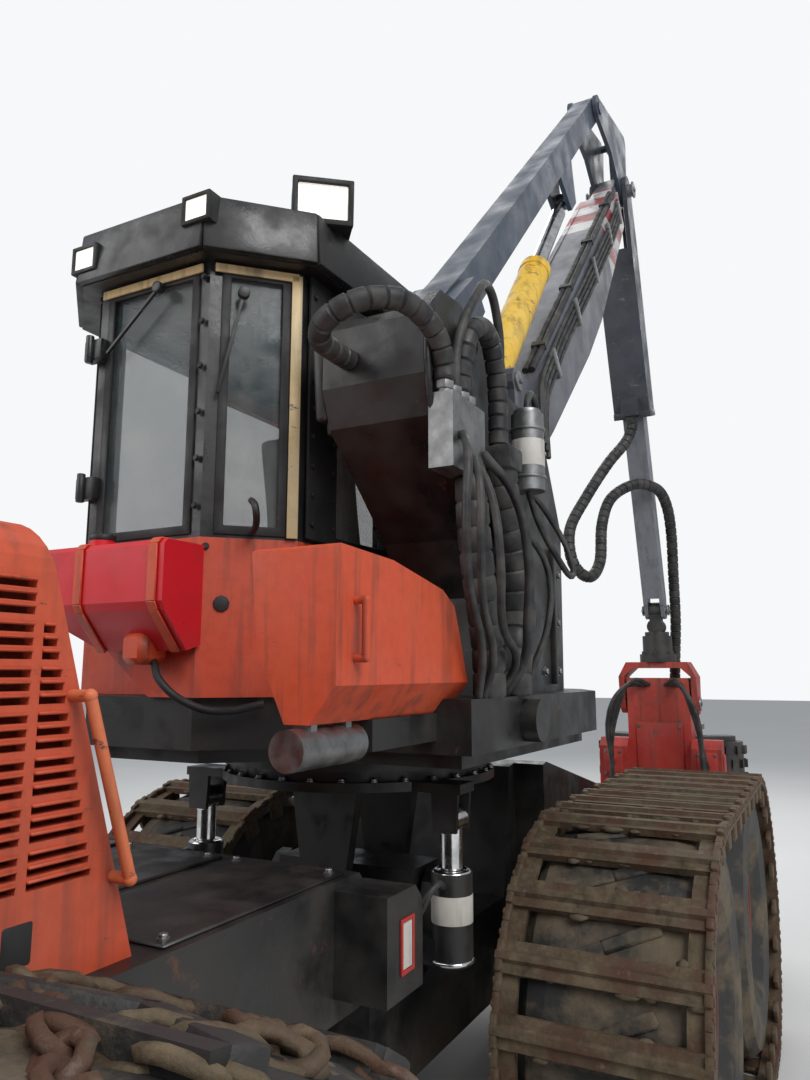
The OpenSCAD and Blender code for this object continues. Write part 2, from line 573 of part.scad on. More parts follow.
// Top link: box tube that flares at its lower end, with the cylinder's bracket below
module top_link() machine() color([0.33, 0.34, 0.37])
    on_crane(boom_x + BOOM_LINK[0], boom_z + BOOM_LINK[1], boom_angle) {
        difference() {
            union() {
                side(concat(arc(0, 0, 95, 90, 270, 10), [[500, -80], [boom_len - 300, -70]],
                    arc(boom_len, 0, 75, -80, 80, 8), [[boom_len - 300, 70], [500, 80]]), -link_w2, link_w2);
                side(concat(arc(0, 0, 95, 90, 270, 10), [[420, -70], [420, 70]]), -link_w2 - 60, link_w2 + 60);
                for (s = [-1, 1]) mirrored(s)
                    side([[2330, -60], [2680, -60], [2560, -292], [2420, -292]], 32, 56);
            }
            pin(0, 0, pin_r + fit, -200, 200);
            pin(boom_len, 0, 40 + fit, -200, 200);
        }
    }

// Tip bracket on the boom's end: two cheeks that keep their attitude
JIB_LUG = [80, 440];
module boom_tip() machine() color([0.5, 0.5, 0.51]) on_crane(tip_x, tip_z, 0) {
    cheek = 26;
    for (s = [-1, 1]) mirrored(s) difference() {
        side(concat(arc(0, 0, 100, -120, 20), arc(JIB_LUG[0], JIB_LUG[1], 60, 0, 90),
            arc(-link_back, link_up, 85, 80, 250), [[-360, 100]]), link_w2 + 5, link_w2 + 5 + cheek);
        pin(0, 0, pin_r + fit, 0, 200);
    }
    pin(-link_back, link_up, 40, -link_w2 - 40, link_w2 + 40);
    pin(JIB_LUG[0], JIB_LUG[1], 26, -link_w2 - 8, link_w2 + 8);
}
module jib_link() machine() color([0.6, 0.6, 0.6]) on_crane(tip_x, tip_z, 0) difference() {
    union() {
        bar([JIB_LUG[0], 0, JIB_LUG[1]], [114, 0, 142], 20);
        pin(JIB_LUG[0], JIB_LUG[1], 44, -30, 30);
        pin(114, 142, 26, -30, 30);
    }
    pin(JIB_LUG[0], JIB_LUG[1], 26 + fit, -40, 40);
}
module jib_pin() machine() color([0.6, 0.6, 0.6]) pin(tip_x, tip_z, pin_r, crane_y - 158, crane_y + 158);
// Jib: a fork round the tip bracket, and a square case for the extension
module jib() machine() color([0.22, 0.22, 0.23]) on_jib() difference() {
    union() {
        for (s = [-1, 1]) mirrored(s)
            side(concat(arc(0, 0, 105, 60, 250), [[400, -115], [520, -115], [520, 115], [400, 115]]), 101, 130);
        // Lugs beside the link's lower eye, open to it
        for (s = [-1, 1]) mirrored(s)
            side([[-115, 120], [-120, 165], [-80, 182], [60, 160], [430, 130], [430, 112]], 35, 59);
        side([[410, -115], [case_len, -100], [case_len, 100], [410, 115]], -130, 130);
        side([[560, 100], [900, 100], [880, 210], [600, 210]], -100, 100);
        // Hose guide under the end of the case
        side([[1480, -100], [case_len, -98], [case_len, -190], [1520, -190]], -60, 60);
    }
    pin(0, 0, pin_r + fit, -200, 200);
    block(435, case_len + 1, -ext_w / 2 - fit, ext_w / 2 + fit, -ext_w / 2 - fit, ext_w / 2 + fit);
}
module extension() machine() color([0.26, 0.26, 0.27]) on_jib() {
    half = ext_w / 2;
    difference() {
        union() {
            block(450, jib_len - 60, -half, half, -half, half);
            side(concat([[jib_len - 140, -half], [jib_len - 140, half]], arc(jib_len, 0, 70, 60, -60)), -half, half);
        }
        block(jib_len - 110, jib_len + 100, -47, 47, -200, 200);
        pin(jib_len, 0, 32 + fit, -200, 200);
    }
}
TIP_HOSE = [[2978.3, -550, 3874.2], [2988.9, -550, 3841.5], [3002.8, -550, 3798.7], [2980, -505, 3680],
    [2860, -395, 3500], [2705, -265, 3230], [2560, -180, 2980],
    [2500, -210, 2740], [2570, -300, 2640], [2690, -350, 2760], [2790, -350, 3040], [2900, -400, 3250],
    [3060, -540, 3370], [3200, -670, 3350], [3330, -715, 3240], [3440, -720, 3040], [3560, -700, 2730],
    [3680, -680, 2400], [3742, -652, 2110],
    [3750, -640, 1930], [3750, -640, 1870], [3750, -640, 1821]];
module tip_hose() machine() color([0.07, 0.07, 0.07]) hose(TIP_HOSE, 40, steps = 3, sides = 8);

module tip_pin() machine() color([0.6, 0.6, 0.6]) hanging() pin(0, 0, 32, -88, 88);
module tip_link() machine() color([0.14, 0.14, 0.15]) hanging() difference() {
    union() {
        pin(0, 0, 62, -42, 42);
        block(-50, 50, -42, 42, -190, 0);
        pin_x(0, -130, 60, -75, 75);
        translate([0, 0, -200]) cylinder(r = 90, h = 30);
    }
    pin(0, 0, 32 + fit, -100, 100);
}
module rotator() machine() color([0.16, 0.16, 0.17]) hanging() {
    translate([0, 0, -rotor_drop]) cylinder(r = 135, h = 60);
    translate([0, 0, -rotor_drop + 60]) cylinder(r = 110, h = rotor_drop - 260 - fit);
    for (a = [0 : 60 : 300]) rotate(a) translate([112, 0, -rotor_drop + 60]) cylinder(r = 14, h = 22);
}
// Tilt yoke: an arch from the rotator down to the head's tilt pins
ARM_Y = [spine_half + 16, spine_half + 56];
module tilt_yoke() machine() color([0.7, 0.08, 0.06]) hanging() {
    top = -rotor_drop - fit;
    section(concat([[-ARM_Y[1], top - 110], [-ARM_Y[1] + 60, top]], [[ARM_Y[1] - 60, top], [ARM_Y[1], top - 110],
        [ARM_Y[0], top - 110], [ARM_Y[0] - 70, top - 45], [-ARM_Y[0] + 70, top - 45], [-ARM_Y[0], top - 110]]),
        -110, 110);
    for (s = [-1, 1]) mirrored(s) {
        side(concat([[-110, top - 109], [110, top - 109]], arc(0, -tilt_drop, 80, 0, -180)), ARM_Y[0], ARM_Y[1]);
        pin(0, -tilt_drop, 40, spine_half - 60, ARM_Y[1]);
    }
}
// Head, drawn over the ground below it, with its tilt axis at this height
tilt_up = 1760;
module at_head() translate([hang_x, crane_y, tilt_z - tilt_up]) children();
// Head frame: spine, side covers, saw box
SAW_Z = [610, 640];
SAW_HUB = [100, -220];
ARM_PIN = [150, 170];
module head_frame() machine() color([0.7, 0.08, 0.06]) {
    at_head() difference() {
        union() {
            side([[-90, 720], [90, 720], [90, 1920], [40, 1950], [-90, 1950]], -spine_half, spine_half);
            // Side covers over the feed motors
            for (s = [-1, 1]) mirrored(s) side([[-160, 900], [0, 900], [0, 1500], [-100, 1500], [-160, 1440]],
                spine_half - 1, 440);
            // Saw box, with a slot for the bar
            plan([[-150, -400], [200, -400], [240, -300], [240, 330], [-100, 330], [-150, 280]], head_z, 740);
            // Manifold where the hoses end
            block(89, 215, -150, -30, 1740, 1820.7);
            // Knife and arm brackets
            for (z = [[800, 60], [1520, 30], [1600, 60]]) block(60, 200, -230, 230, z[0], z[0] + z[1]);
        }
        // Trunk side of the spine is hollowed
        side([[60, 900], [100, 900], [100, 1700], [60, 1700]], -150, 150);
        block(-60, 300, -290, 420, SAW_Z[0] - 12, SAW_Z[1] + 12);
        for (s = [-1, 1]) {
            mirrored(s) pin(0, tilt_up, 40 + fit, spine_half - 61, spine_half + 1);
            translate([ARM_PIN[0], s * ARM_PIN[1], 700]) cylinder(r = 30 + fit, h = 1200);
        }
    }
}
module saw_bar() machine() color([0.6, 0.6, 0.6]) at_head() {
    plan(concat(arc(SAW_HUB[0], SAW_HUB[1], 60, 180, 360), arc(SAW_HUB[0], 280, 40, 0, 180)), SAW_Z[0],
        SAW_Z[0] + 12);
    translate([SAW_HUB[0], SAW_HUB[1], SAW_Z[0] - 12 + fit]) cylinder(r = 38, h = SAW_Z[1] - SAW_Z[0] + 24 - 2 * fit);
}
// Feed arm with its spiked roller; the mirror image serves the other side
module feed_arm(s) at_head() mirrored(s) {
    roller = [330, 400];
    difference() {
        union() {
            for (z = [1000, 1470]) plan(concat(arc(ARM_PIN[0], ARM_PIN[1], 60, 135, 315),
                arc(roller[0], roller[1], 90, -45, 135)), z, z + 40);
            translate([ARM_PIN[0], ARM_PIN[1], 900]) cylinder(r = 55, h = 615);
        }
        translate([ARM_PIN[0], ARM_PIN[1], 850]) cylinder(r = 30 + fit, h = 750);
    }
    translate([roller[0], roller[1], 1040]) {
        cylinder(r = roller_r, h = roller_h + 10);
        for (k = [0 : 3], a = [0 : 30 : 330]) rotate(a + k * 15) translate([roller_r - 8, -9, 40 + k * 100])
            cube([34, 18, 60]);
    }
}
module feed_arm_left() machine() color([0.13, 0.13, 0.13]) feed_arm(1);
module feed_arm_right() machine() color([0.13, 0.13, 0.13]) feed_arm(-1);
// Delimbing knives: curved blades at the top and the bottom on one shaft
module knife(s) at_head() mirrored(s) {
    translate([ARM_PIN[0], ARM_PIN[1], 700 + fit]) cylinder(r = 30, h = 965);
    for (z = [752, 1555]) {
        translate([ARM_PIN[0], ARM_PIN[1], z - 3]) cylinder(r = 50, h = 46);
        translate([330, 0, z]) rotate(12) rotate_extrude(angle = 120, $fn = 64)
            translate([232, 0]) square([32, 40]);
    }
}
module knife_left() machine() color([0.5, 0.5, 0.5]) knife(1);
module knife_right() machine() color([0.5, 0.5, 0.5]) knife(-1);

// Rear frame: tongue, deck box, axle and bumper
module rear_frame() machine() color([0.12, 0.12, 0.13]) {
    x0 = -pivot_back - 300;
    x1 = -pivot_back - rear_len;
    difference() {
        union() {
            translate([-pivot_back, 0, 690]) cylinder(r = 200, h = 180);
            block(x0 - 50, -pivot_back, -200, 200, 690, 870);
        }
        translate([-pivot_back, 0, 600]) cylinder(r = 60 + fit, h = 400);
    }
    side([[x0, 690], [x1 + 200, 640], [x1, 760], [x1, 1300], [x1 + 60, deck_z], [x0 - 60, deck_z],
        [x0, deck_z - 90]], -deck_half + 230, deck_half - 230);
    side([[x0, 1150], [x1, 1150], [x1, 1300], [x1 + 60, deck_z], [x0 - 60, deck_z], [x0, deck_z - 60]],
        -deck_half, deck_half);
    // Marker box at the deck's right front corner
    side([[-1130, 1210], [-940, 1210], [-940, 1420], [-980, 1460], [-1130, 1460]], -750, -deck_half + 1);
    pin(-rear_axle_back, rear_wheel_z, 150, -rear_wheel_y - disc_y + fit, rear_wheel_y + disc_y - fit);
    block(-rear_axle_back - 220, -rear_axle_back + 220, -380, 380, 700, 1160);
    // Rear bumper with its hitch, two plates round a vertical pin's bores
    block(x1 - 45, x1, -deck_half - 60, deck_half + 60, 700, 1020);
    for (z = [780, 860]) translate([0, 0, z]) difference() {
        union() {
            translate([x1 - 110, 0, 0]) cylinder(r = 55, h = 30);
            block(x1 - 110, x1 - 40, -55, 55, 0, 30);
        }
        translate([x1 - 110, 0, -1]) cylinder(r = 20, h = 32);
    }
}
module engine() machine() color([0.3, 0.3, 0.3]) block(-3250, -2150, -330, 330, deck_z, 2080);
HOOD_X = [-1750, -2000, -3760];
function hood_side(d) = [[HOOD_X[0] - d, deck_z - 1], [HOOD_X[1] - d, hood_z - d],
    [HOOD_X[2] + d + 120, hood_z - d], [HOOD_X[2] + d, hood_z - 260], [HOOD_X[2] + d, deck_z - 1]];
function hood_section(d) = concat([[-hood_half + d, deck_z]],
    arc(-hood_half + 90, hood_z - 90, 90 - d, 180, 90), arc(hood_half - 90, hood_z - 90, 90 - d, 90, 0),
    [[hood_half - d, deck_z]]);
module hood() machine() color([0.74, 0.24, 0.1]) difference() {
    intersection() {
        side(hood_side(0), -hood_half, hood_half);
        section(hood_section(0), HOOD_X[2] - 1, HOOD_X[0] + 1);
        block(HOOD_X[2], HOOD_X[0], -hood_half, hood_half, deck_z, hood_z);
    }
    intersection() {
        side(hood_side(hood_t), -hood_half, hood_half);
        section(hood_section(hood_t), HOOD_X[2], HOOD_X[0]);
    }
    // Louvres: rows in threes, the front column following the sloping edge
    for (row = [0 : louvre_rows + 2]) {
        z = 1645 + row * 22.5 + floor(row / 3) * 7.5;
        if (row < louvre_rows) block(-1990, -1860 - (z - 1645) * 0.255, -hood_half - 1, hood_half + 1, z, z + 13);
        for (x = [-2400, -2820]) block(x, x + 390, -hood_half - 1, hood_half + 1, z, z + 13);
    }
    // Rear grille
    for (y = [-420 : 60 : 360]) block(HOOD_X[2] - 1, HOOD_X[2] + 60, y, y + 38, 1560, 1960);
}
module hood_rails() machine() color([0.75, 0.27, 0.1]) for (s = [-1, 1]) mirrored(s)
    bent([[-1922, hood_half + fit, 1958], [-1922, hood_half + 45, 1958], [-1808, hood_half + 45, 1632],
        [-1808, hood_half + fit, 1632]], 11, 1.5);

// Rear tyre with its ring chain
module chained_tyre() {
    tyre(rear_tyre_r, rear_rim_r, tyre_w);
    for (i = [0 : chain_links - 1]) rotate([0, i * 360 / chain_links, 0]) {
        translate([rear_tyre_r - 20, -tyre_w * 0.35, -14]) cube([chain_t + 20, tyre_w * 0.7, 28]);
        for (s = [-1, 1]) mirrored(s) side([[chain_ring_r - 4, -12], [rear_tyre_r, -12],
            [rear_tyre_r, 12], [chain_ring_r - 4, 12]], tyre_w * 0.33, tyre_w * 0.5 + 8);
    }
    for (s = [-1, 1]) mirrored(s) rotate([-90, 0, 0]) translate([0, 0, tyre_w * 0.5 - 12])
        rotate_extrude($fn = 64) translate([chain_ring_r - 13, 0]) square([26, 24]);
}
module rear_wheel(s) translate([-rear_axle_back, s * rear_wheel_y, rear_wheel_z]) children();
module rear_tyre_left() machine() color([0.14, 0.13, 0.12]) rear_wheel(1) chained_tyre();
module rear_tyre_right() machine() color([0.14, 0.13, 0.12]) rear_wheel(-1) chained_tyre();
module rear_rim_left() machine() color([0.55, 0.12, 0.1]) rear_wheel(1) rotate(180) rim(rear_rim_r, tyre_w);
module rear_rim_right() machine() color([0.55, 0.12, 0.1]) rear_wheel(-1) rim(rear_rim_r, tyre_w);

front_frame();
bogie_beams();
front_tyres();
front_rims();
band_track_left();
band_track_right();
level_cross();
level_rod_left();
level_rod_right();
tilt_table();
slew_platform();
cab_tub();
cab_frame();
cab_roof();
work_lamps();
cab_glass();
cab_door();
door_glass();
seat();
rear_tank();
valve_cover();
canister();
pillar();
valve_block();
pillar_hoses();
top_link();
main_boom();
boom_hoses();
lift_barrel();
lift_rod();
boom_tip();
jib_link();
jib_pin();
jib();
extension();
tip_hose();
tip_pin();
tip_link();
rotator();
tilt_yoke();
head_frame();
feed_arm_left();
feed_arm_right();
knife_left();
knife_right();
saw_bar();
rear_frame();
engine();
hood();
hood_rails();
rear_tyre_left();
rear_tyre_right();
rear_rim_left();
rear_rim_right();
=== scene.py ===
import json
import math
import random
from math import cos, pi, radians, sin

import bpy
from mathutils import Matrix, Vector


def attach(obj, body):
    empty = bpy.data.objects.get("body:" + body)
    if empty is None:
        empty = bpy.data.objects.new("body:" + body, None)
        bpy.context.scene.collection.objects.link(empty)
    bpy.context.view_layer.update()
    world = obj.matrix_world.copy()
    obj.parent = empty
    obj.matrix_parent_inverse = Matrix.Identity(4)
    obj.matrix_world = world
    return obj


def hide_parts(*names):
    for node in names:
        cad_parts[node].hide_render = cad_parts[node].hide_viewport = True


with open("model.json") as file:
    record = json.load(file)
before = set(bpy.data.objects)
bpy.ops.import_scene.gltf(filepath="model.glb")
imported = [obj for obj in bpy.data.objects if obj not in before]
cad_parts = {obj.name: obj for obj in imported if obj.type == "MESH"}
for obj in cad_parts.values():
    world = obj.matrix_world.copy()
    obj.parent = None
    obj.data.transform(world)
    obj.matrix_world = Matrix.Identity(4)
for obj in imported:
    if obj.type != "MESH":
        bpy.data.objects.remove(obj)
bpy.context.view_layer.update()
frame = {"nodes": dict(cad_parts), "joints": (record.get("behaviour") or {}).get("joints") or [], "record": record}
NODES = frame["nodes"]
PIVOTS = {j["name"]: Vector(j["pos_m"]) for j in frame["joints"] if "pos_m" in j}

# Pivots of the machine, read from the frame
SLEW = PIVOTS["slew"]
BOOM_FOOT = PIVOTS["lift"]
LINK_FOOT = PIVOTS["top_link_swing"]
BOOM_TIP = PIVOTS["boom_tip_level"]
HANG = PIVOTS["tip_pin_level"]
LIFT_FOOT = PIVOTS["lift_barrel_swing"]
TILT = PIVOTS["head_tilt"]
REAR_WHEEL = {"left": PIVOTS["rear_wheel_left_roll"], "right": PIVOTS["rear_wheel_right_roll"]}

# Driving dimensions in metres
CRANE_Y = BOOM_FOOT.y
BOOM_ANGLE = math.atan2(BOOM_TIP.z - BOOM_FOOT.z, BOOM_TIP.x - BOOM_FOOT.x)
JIB_ANGLE = math.atan2(HANG.z - BOOM_TIP.z, HANG.x - BOOM_TIP.x)
BOGIE_X = (0.46, 1.96)
FRONT_WHEEL_Y = 1.0
FRONT_WHEEL_Z = 0.725
FRONT_TYRE_R = 0.67
BAND_R = 0.69
STRAIGHT_SHOES = 7
END_SHOES = 10
REAR_TYRE_R = 0.822
SILL_Z = 2.42
EAVES_Z = 3.35
DECK_Z = 1.48
HOOD_HALF = 0.55
FRONT_LUGS = 16
FRONT_LUG_LEAN = 26
REAR_LUGS = 18
UP = (0, 0, 1)
ACROSS = (0, 1, 0)
# Cab outline seen from above, and the height range of its windows
CAB = [(-1.0, 0.0), (-0.78, -0.22), (1.0, -0.27), (1.25, -0.12), (1.25, 0.59), (1.0, 0.74), (-0.78, 0.74),
       (-1.0, 0.5)]
WINDOW_Z = (2.445, 3.315)
POST = 0.055
SEAL = 0.03
BOLT_SPACING = 0.32
END_BOLT = 0.06


def at(x, y, z):
    """A point given from the slewing axis, in the machine's frame."""
    return Vector((x + SLEW.x, y, z))


def moved(point):
    return Matrix.Translation(Vector(point))


def turned(degrees, axis):
    return Matrix.Rotation(radians(degrees), 4, axis)


def facing(point, axis):
    """A matrix that moves a piece to point and turns its Z to the axis."""
    return moved(point) @ Vector(axis).to_track_quat("Z", "Y").to_matrix().to_4x4()


def linked(obj):
    bpy.context.scene.collection.objects.link(obj)
    return obj


def along_boom(u, y, v):
    """A point u along the boom from its foot and v above its middle line."""
    return BOOM_FOOT + Vector((u * cos(BOOM_ANGLE) - v * sin(BOOM_ANGLE), y,
                               u * sin(BOOM_ANGLE) + v * cos(BOOM_ANGLE)))


def along_jib(u, y, v):
    """A point u down the jib from the boom's tip and v in front of its middle line."""
    return BOOM_TIP + Vector((u * cos(JIB_ANGLE) - v * sin(JIB_ANGLE), y,
                              u * sin(JIB_ANGLE) + v * cos(JIB_ANGLE)))


# Camera at the photograph's place and angle: degrees from the left and above level, and the focal length as a
# share of the picture's height
EYE = at(-2.94, -1.74, 2.0)
HEADING = 27.5
PITCH = 9.2
FOCAL_SHARE = 811 / 1080
SENSOR = 36.0


def add_camera():
    data = bpy.data.cameras.new("photo_camera")
    data.sensor_fit = "VERTICAL"
    data.sensor_height = SENSOR
    data.lens = SENSOR * FOCAL_SHARE
    camera = linked(bpy.data.objects.new("photo_camera", data))
    camera.location = EYE
    camera.rotation_euler = (radians(90 + PITCH), 0, radians(HEADING - 90))
    bpy.context.scene.camera = camera


add_camera()


FINISHES = {}


class Finish:
    """A finish, kept under its name, with short names for the nodes that it is made of."""

    def __init__(self, name, rough=0.5, metal=0.0):
        self.material = FINISHES[name] = bpy.data.materials.new(name)
        self.material.use_nodes = True
        self.nodes = self.material.node_tree.nodes
        self.links = self.material.node_tree.links
        self.shader = self.nodes["Principled BSDF"]
        self.surface("Roughness", rough)
        self.surface("Metallic", metal)
        self.coords = self.nodes.new("ShaderNodeTexCoord").outputs["Object"]

    def plug(self, socket, value):
        if isinstance(value, bpy.types.NodeSocket):
            self.links.new(value, socket)
        elif isinstance(value, tuple) and len(value) == 3 and socket.type == "RGBA":
            socket.default_value = (*value, 1)
        else:
            socket.default_value = value

    def surface(self, name, value):
        self.plug(self.shader.inputs[name], value)

    def node(self, kind, output, values, **settings):
        """A new node with its settings and sockets filled in; gives one of its outputs."""
        node = self.nodes.new("ShaderNode" + kind)
        for key, value in settings.items():
            setattr(node, key, value)
        for key, value in values.items():
            self.plug(node.inputs[key], value)
        return node.outputs[output]

    def math(self, operation, a, b=0.0):
        return self.node("Math", 0, {0: a, 1: b}, operation=operation)

    def stretched(self, scale, turn=(0, 0, 0)):
        values = {"Vector": self.coords, "Scale": scale, "Rotation": turn}
        return self.node("Mapping", 0, values, vector_type="POINT")

    def noise(self, scale, detail=4.0, rough=0.55, vector=None):
        values = {"Vector": vector or self.coords, "Scale": scale, "Detail": detail, "Roughness": rough}
        return self.node("TexNoise", "Fac", values)

    def between(self, value, low, high, a=0.0, b=1.0):
        values = {"Value": value, "From Min": low, "From Max": high, "To Min": a, "To Max": b}
        return self.node("MapRange", "Result", values)

    def blend(self, share, a, b):
        return self.node("Mix", "Result", {"Factor": share, "A": a, "B": b}, data_type="RGBA")

    def axis(self, name, vector=None):
        return self.node("SeparateXYZ", name, {0: vector or self.coords})

    def bump(self, height, strength, distance=0.01):
        values = {"Height": height, "Strength": strength, "Distance": distance}
        self.surface("Normal", self.node("Bump", 0, values))

    def colour(self, value):
        self.surface("Base Color", value)

    def rough(self, value):
        self.surface("Roughness", value)

    def patchy(self, scale, low, high, detail=4):
        """Roughness that wanders between two values."""
        self.rough(self.between(self.noise(scale, detail), 0.3, 0.7, low, high))

    def ragged_height(self, scale, detail):
        """Height with an uneven edge, for mud that clings low down."""
        return self.math("ADD", self.axis("Z"), self.math("MULTIPLY", self.noise(scale, detail), 0.5))


MUD = (0.085, 0.062, 0.037)
DRY_MUD = (0.19, 0.15, 0.10)
RUST = (0.16, 0.055, 0.025)
DARK_STEEL = (0.05, 0.05, 0.052)
# Dark grey with a painted blue sky reflection in it
SKY_TINTED_GREY = (0.05, 0.07, 0.105)
ORANGE = (0.56, 0.055, 0.02)
FADED_ORANGE = (0.58, 0.085, 0.038)
RED = (0.42, 0.028, 0.02)
FADED_RED = (0.45, 0.085, 0.06)
STREAK = (0.055, 0.045, 0.035)
DUST = (0.12, 0.105, 0.085)
RUBBER = (0.022, 0.021, 0.02)
BARE_STEEL = (0.34, 0.32, 0.3)


def worn_paint(name, paint, faded, under=DARK_STEEL, wear=0.5, streaks=0.4, mud_top=0.0, rough=0.45):
    """Paint that has faded in patches, is scratched down to what is under it, and is streaked from above."""
    f = Finish(name, rough)
    fade = f.between(f.noise(1.6, 5), 0.35, 0.68)
    base = f.blend(fade, paint, faded)
    fine = f.between(f.noise(26, 6, 0.7), 0.45, 0.75, 0, 0.35)
    base = f.blend(fine, base, tuple(c * 0.55 for c in paint))
    run = f.noise(3.2, 3, 0.6, f.stretched((7, 7, 0.55)))
    dirt = f.math("MULTIPLY", f.between(run, 0.5, 0.72), streaks)
    base = f.blend(dirt, base, STREAK)
    scratch = f.noise(9, 8, 0.78, f.stretched((1, 1, 2.6), (0.4, 0.3, 0.2)))
    bare = f.between(scratch, 0.66 - 0.06 * wear, 0.69 - 0.05 * wear)
    base = f.blend(bare, base, under)
    if mud_top > 0:
        base = f.blend(f.between(f.ragged_height(5, 4), mud_top + 0.45, mud_top - 0.1), base, MUD)
    f.colour(base)
    f.patchy(7, rough - 0.1, rough + 0.22)
    f.bump(f.math("ADD", f.math("MULTIPLY", bare, -0.6), f.noise(34, 4)), 0.16, 0.004)


def oily_black(name, tone=0.022, dust=0.3, rough=0.42, mud_top=0.0):
    """Black painted steel with grease, dust in the hollows and a little rust."""
    f = Finish(name, rough)
    black = (tone, tone, tone * 1.06)
    base = f.blend(f.between(f.noise(4, 5), 0.42, 0.7, 0, dust), black, DUST)
    base = f.blend(f.between(f.noise(11, 7, 0.75), 0.63, 0.7, 0, 0.6), base, RUST)
    if mud_top > 0:
        mud = f.blend(f.noise(14, 5), MUD, DRY_MUD)
        base = f.blend(f.between(f.ragged_height(4, 5), mud_top + 0.5, mud_top - 0.1, 0, 0.9), base, mud)
    f.colour(base)
    f.rough(f.between(f.noise(8, 4), 0.35, 0.7, rough - 0.14, rough + 0.28))
    f.bump(f.noise(40, 5, 0.7), 0.22, 0.004)


def muddy_rubber(name, mud):
    """Tyre rubber with clay that has dried in patches."""
    f = Finish(name, 0.85)
    clay = f.blend(f.noise(18, 6, 0.7), MUD, DRY_MUD)
    cover = f.between(f.noise(3.4, 7, 0.68), 0.62 - 0.3 * mud, 0.72 - 0.2 * mud, 0, 0.92)
    f.colour(f.blend(cover, RUBBER, clay))
    f.rough(f.between(cover, 0, 1, 0.62, 0.95))
    f.bump(f.math("ADD", cover, f.noise(50, 5)), 0.4, 0.006)


def muddy_steel(name, bright=0.25):
    """Track and chain steel: dried clay, rust, and bare metal where it runs."""
    f = Finish(name, 0.7, 0.3)
    clay = f.blend(f.between(f.noise(16, 6, 0.7), 0.35, 0.68), (0.06, 0.043, 0.024), (0.19, 0.145, 0.09))
    base = f.blend(f.between(f.noise(6, 6, 0.7), 0.44, 0.6), clay, (0.10, 0.05, 0.03))
    bare = f.between(f.noise(12, 7, 0.75), 0.6, 0.68, 0, bright)
    f.colour(f.blend(bare, base, BARE_STEEL))
    f.patchy(16, 0.55, 0.9, 5)
    f.bump(f.noise(30, 7, 0.75), 0.55, 0.008)


def plain_metal(name, tone, rough, grain=0.12, tint=(1, 1, 1)):
    """Unpainted metal with a fine grain."""
    f = Finish(name, rough, 1.0)
    light = tuple(tone * t for t in tint)
    dark = tuple(tone * 0.55 * t for t in tint)
    f.colour(f.blend(f.between(f.noise(14, 5, 0.65), 0.4, 0.7), light, dark))
    f.patchy(22, rough - 0.06, rough + 0.18)
    f.bump(f.noise(60, 4), grain, 0.002)


def moulded_plastic(name, paint, dusty, rough=0.35):
    """Moulded plastic, grimy in patches and along its foot."""
    f = Finish(name, rough)
    grime = f.between(f.noise(5, 5, 0.65), 0.5, 0.78, 0, 0.55)
    low = f.between(f.axis("Z"), 2.25, 2.08, 0, 0.45)
    f.colour(f.blend(f.math("MAXIMUM", grime, f.math("MULTIPLY", low, f.noise(9, 3))), paint, dusty))
    f.patchy(9, rough - 0.08, rough + 0.2)
    f.bump(f.noise(90, 3), 0.08, 0.002)


def wrapped_hose(name):
    """Black nylon wrap that turns round the hose, with dull dust on its ridges."""
    f = Finish(name, 0.55)
    f.colour(f.blend(f.between(f.noise(13, 5), 0.4, 0.75), (0.014, 0.014, 0.016), (0.075, 0.07, 0.062)))
    f.patchy(20, 0.42, 0.75)
    f.bump(f.noise(160, 3), 0.3, 0.002)


def window_glass(name):
    """Tinted glass with dust that lies low on the pane."""
    f = Finish(name, 0.06)
    f.surface("IOR", 1.45)
    f.surface("Alpha", 0.34)
    dust = f.between(f.noise(4, 6, 0.7), 0.45, 0.8, 0, 0.7)
    f.colour(f.blend(dust, (0.10, 0.13, 0.135), (0.42, 0.42, 0.38)))
    f.rough(f.between(f.noise(8, 4), 0.3, 0.8, 0.04, 0.3))
    f.material.surface_render_method = "DITHERED"


THREADS = 1400


def worn_cloth(name, tone):
    """Woven seat cloth, darker where it is worn."""
    f = Finish(name, 0.92)
    warp, weft = (f.math("SINE", f.math("MULTIPLY", f.axis(name), THREADS)) for name in ("Y", "Z"))
    weave = f.math("MULTIPLY", warp, weft)
    base = f.blend(f.between(f.noise(6, 5), 0.35, 0.7), tone, tuple(c * 0.5 for c in tone))
    f.colour(f.blend(f.between(weave, -1, 1, 0, 0.25), base, (0.05, 0.05, 0.05)))
    f.bump(f.math("ADD", weave, f.noise(70, 4)), 0.25, 0.002)


# Striped band on the boom: width of a pair of stripes, and its ends measured from the boom's foot
STRIPE_PITCH = 0.34
STRIPES_FROM = 2.45
STRIPES_TO = 3.35


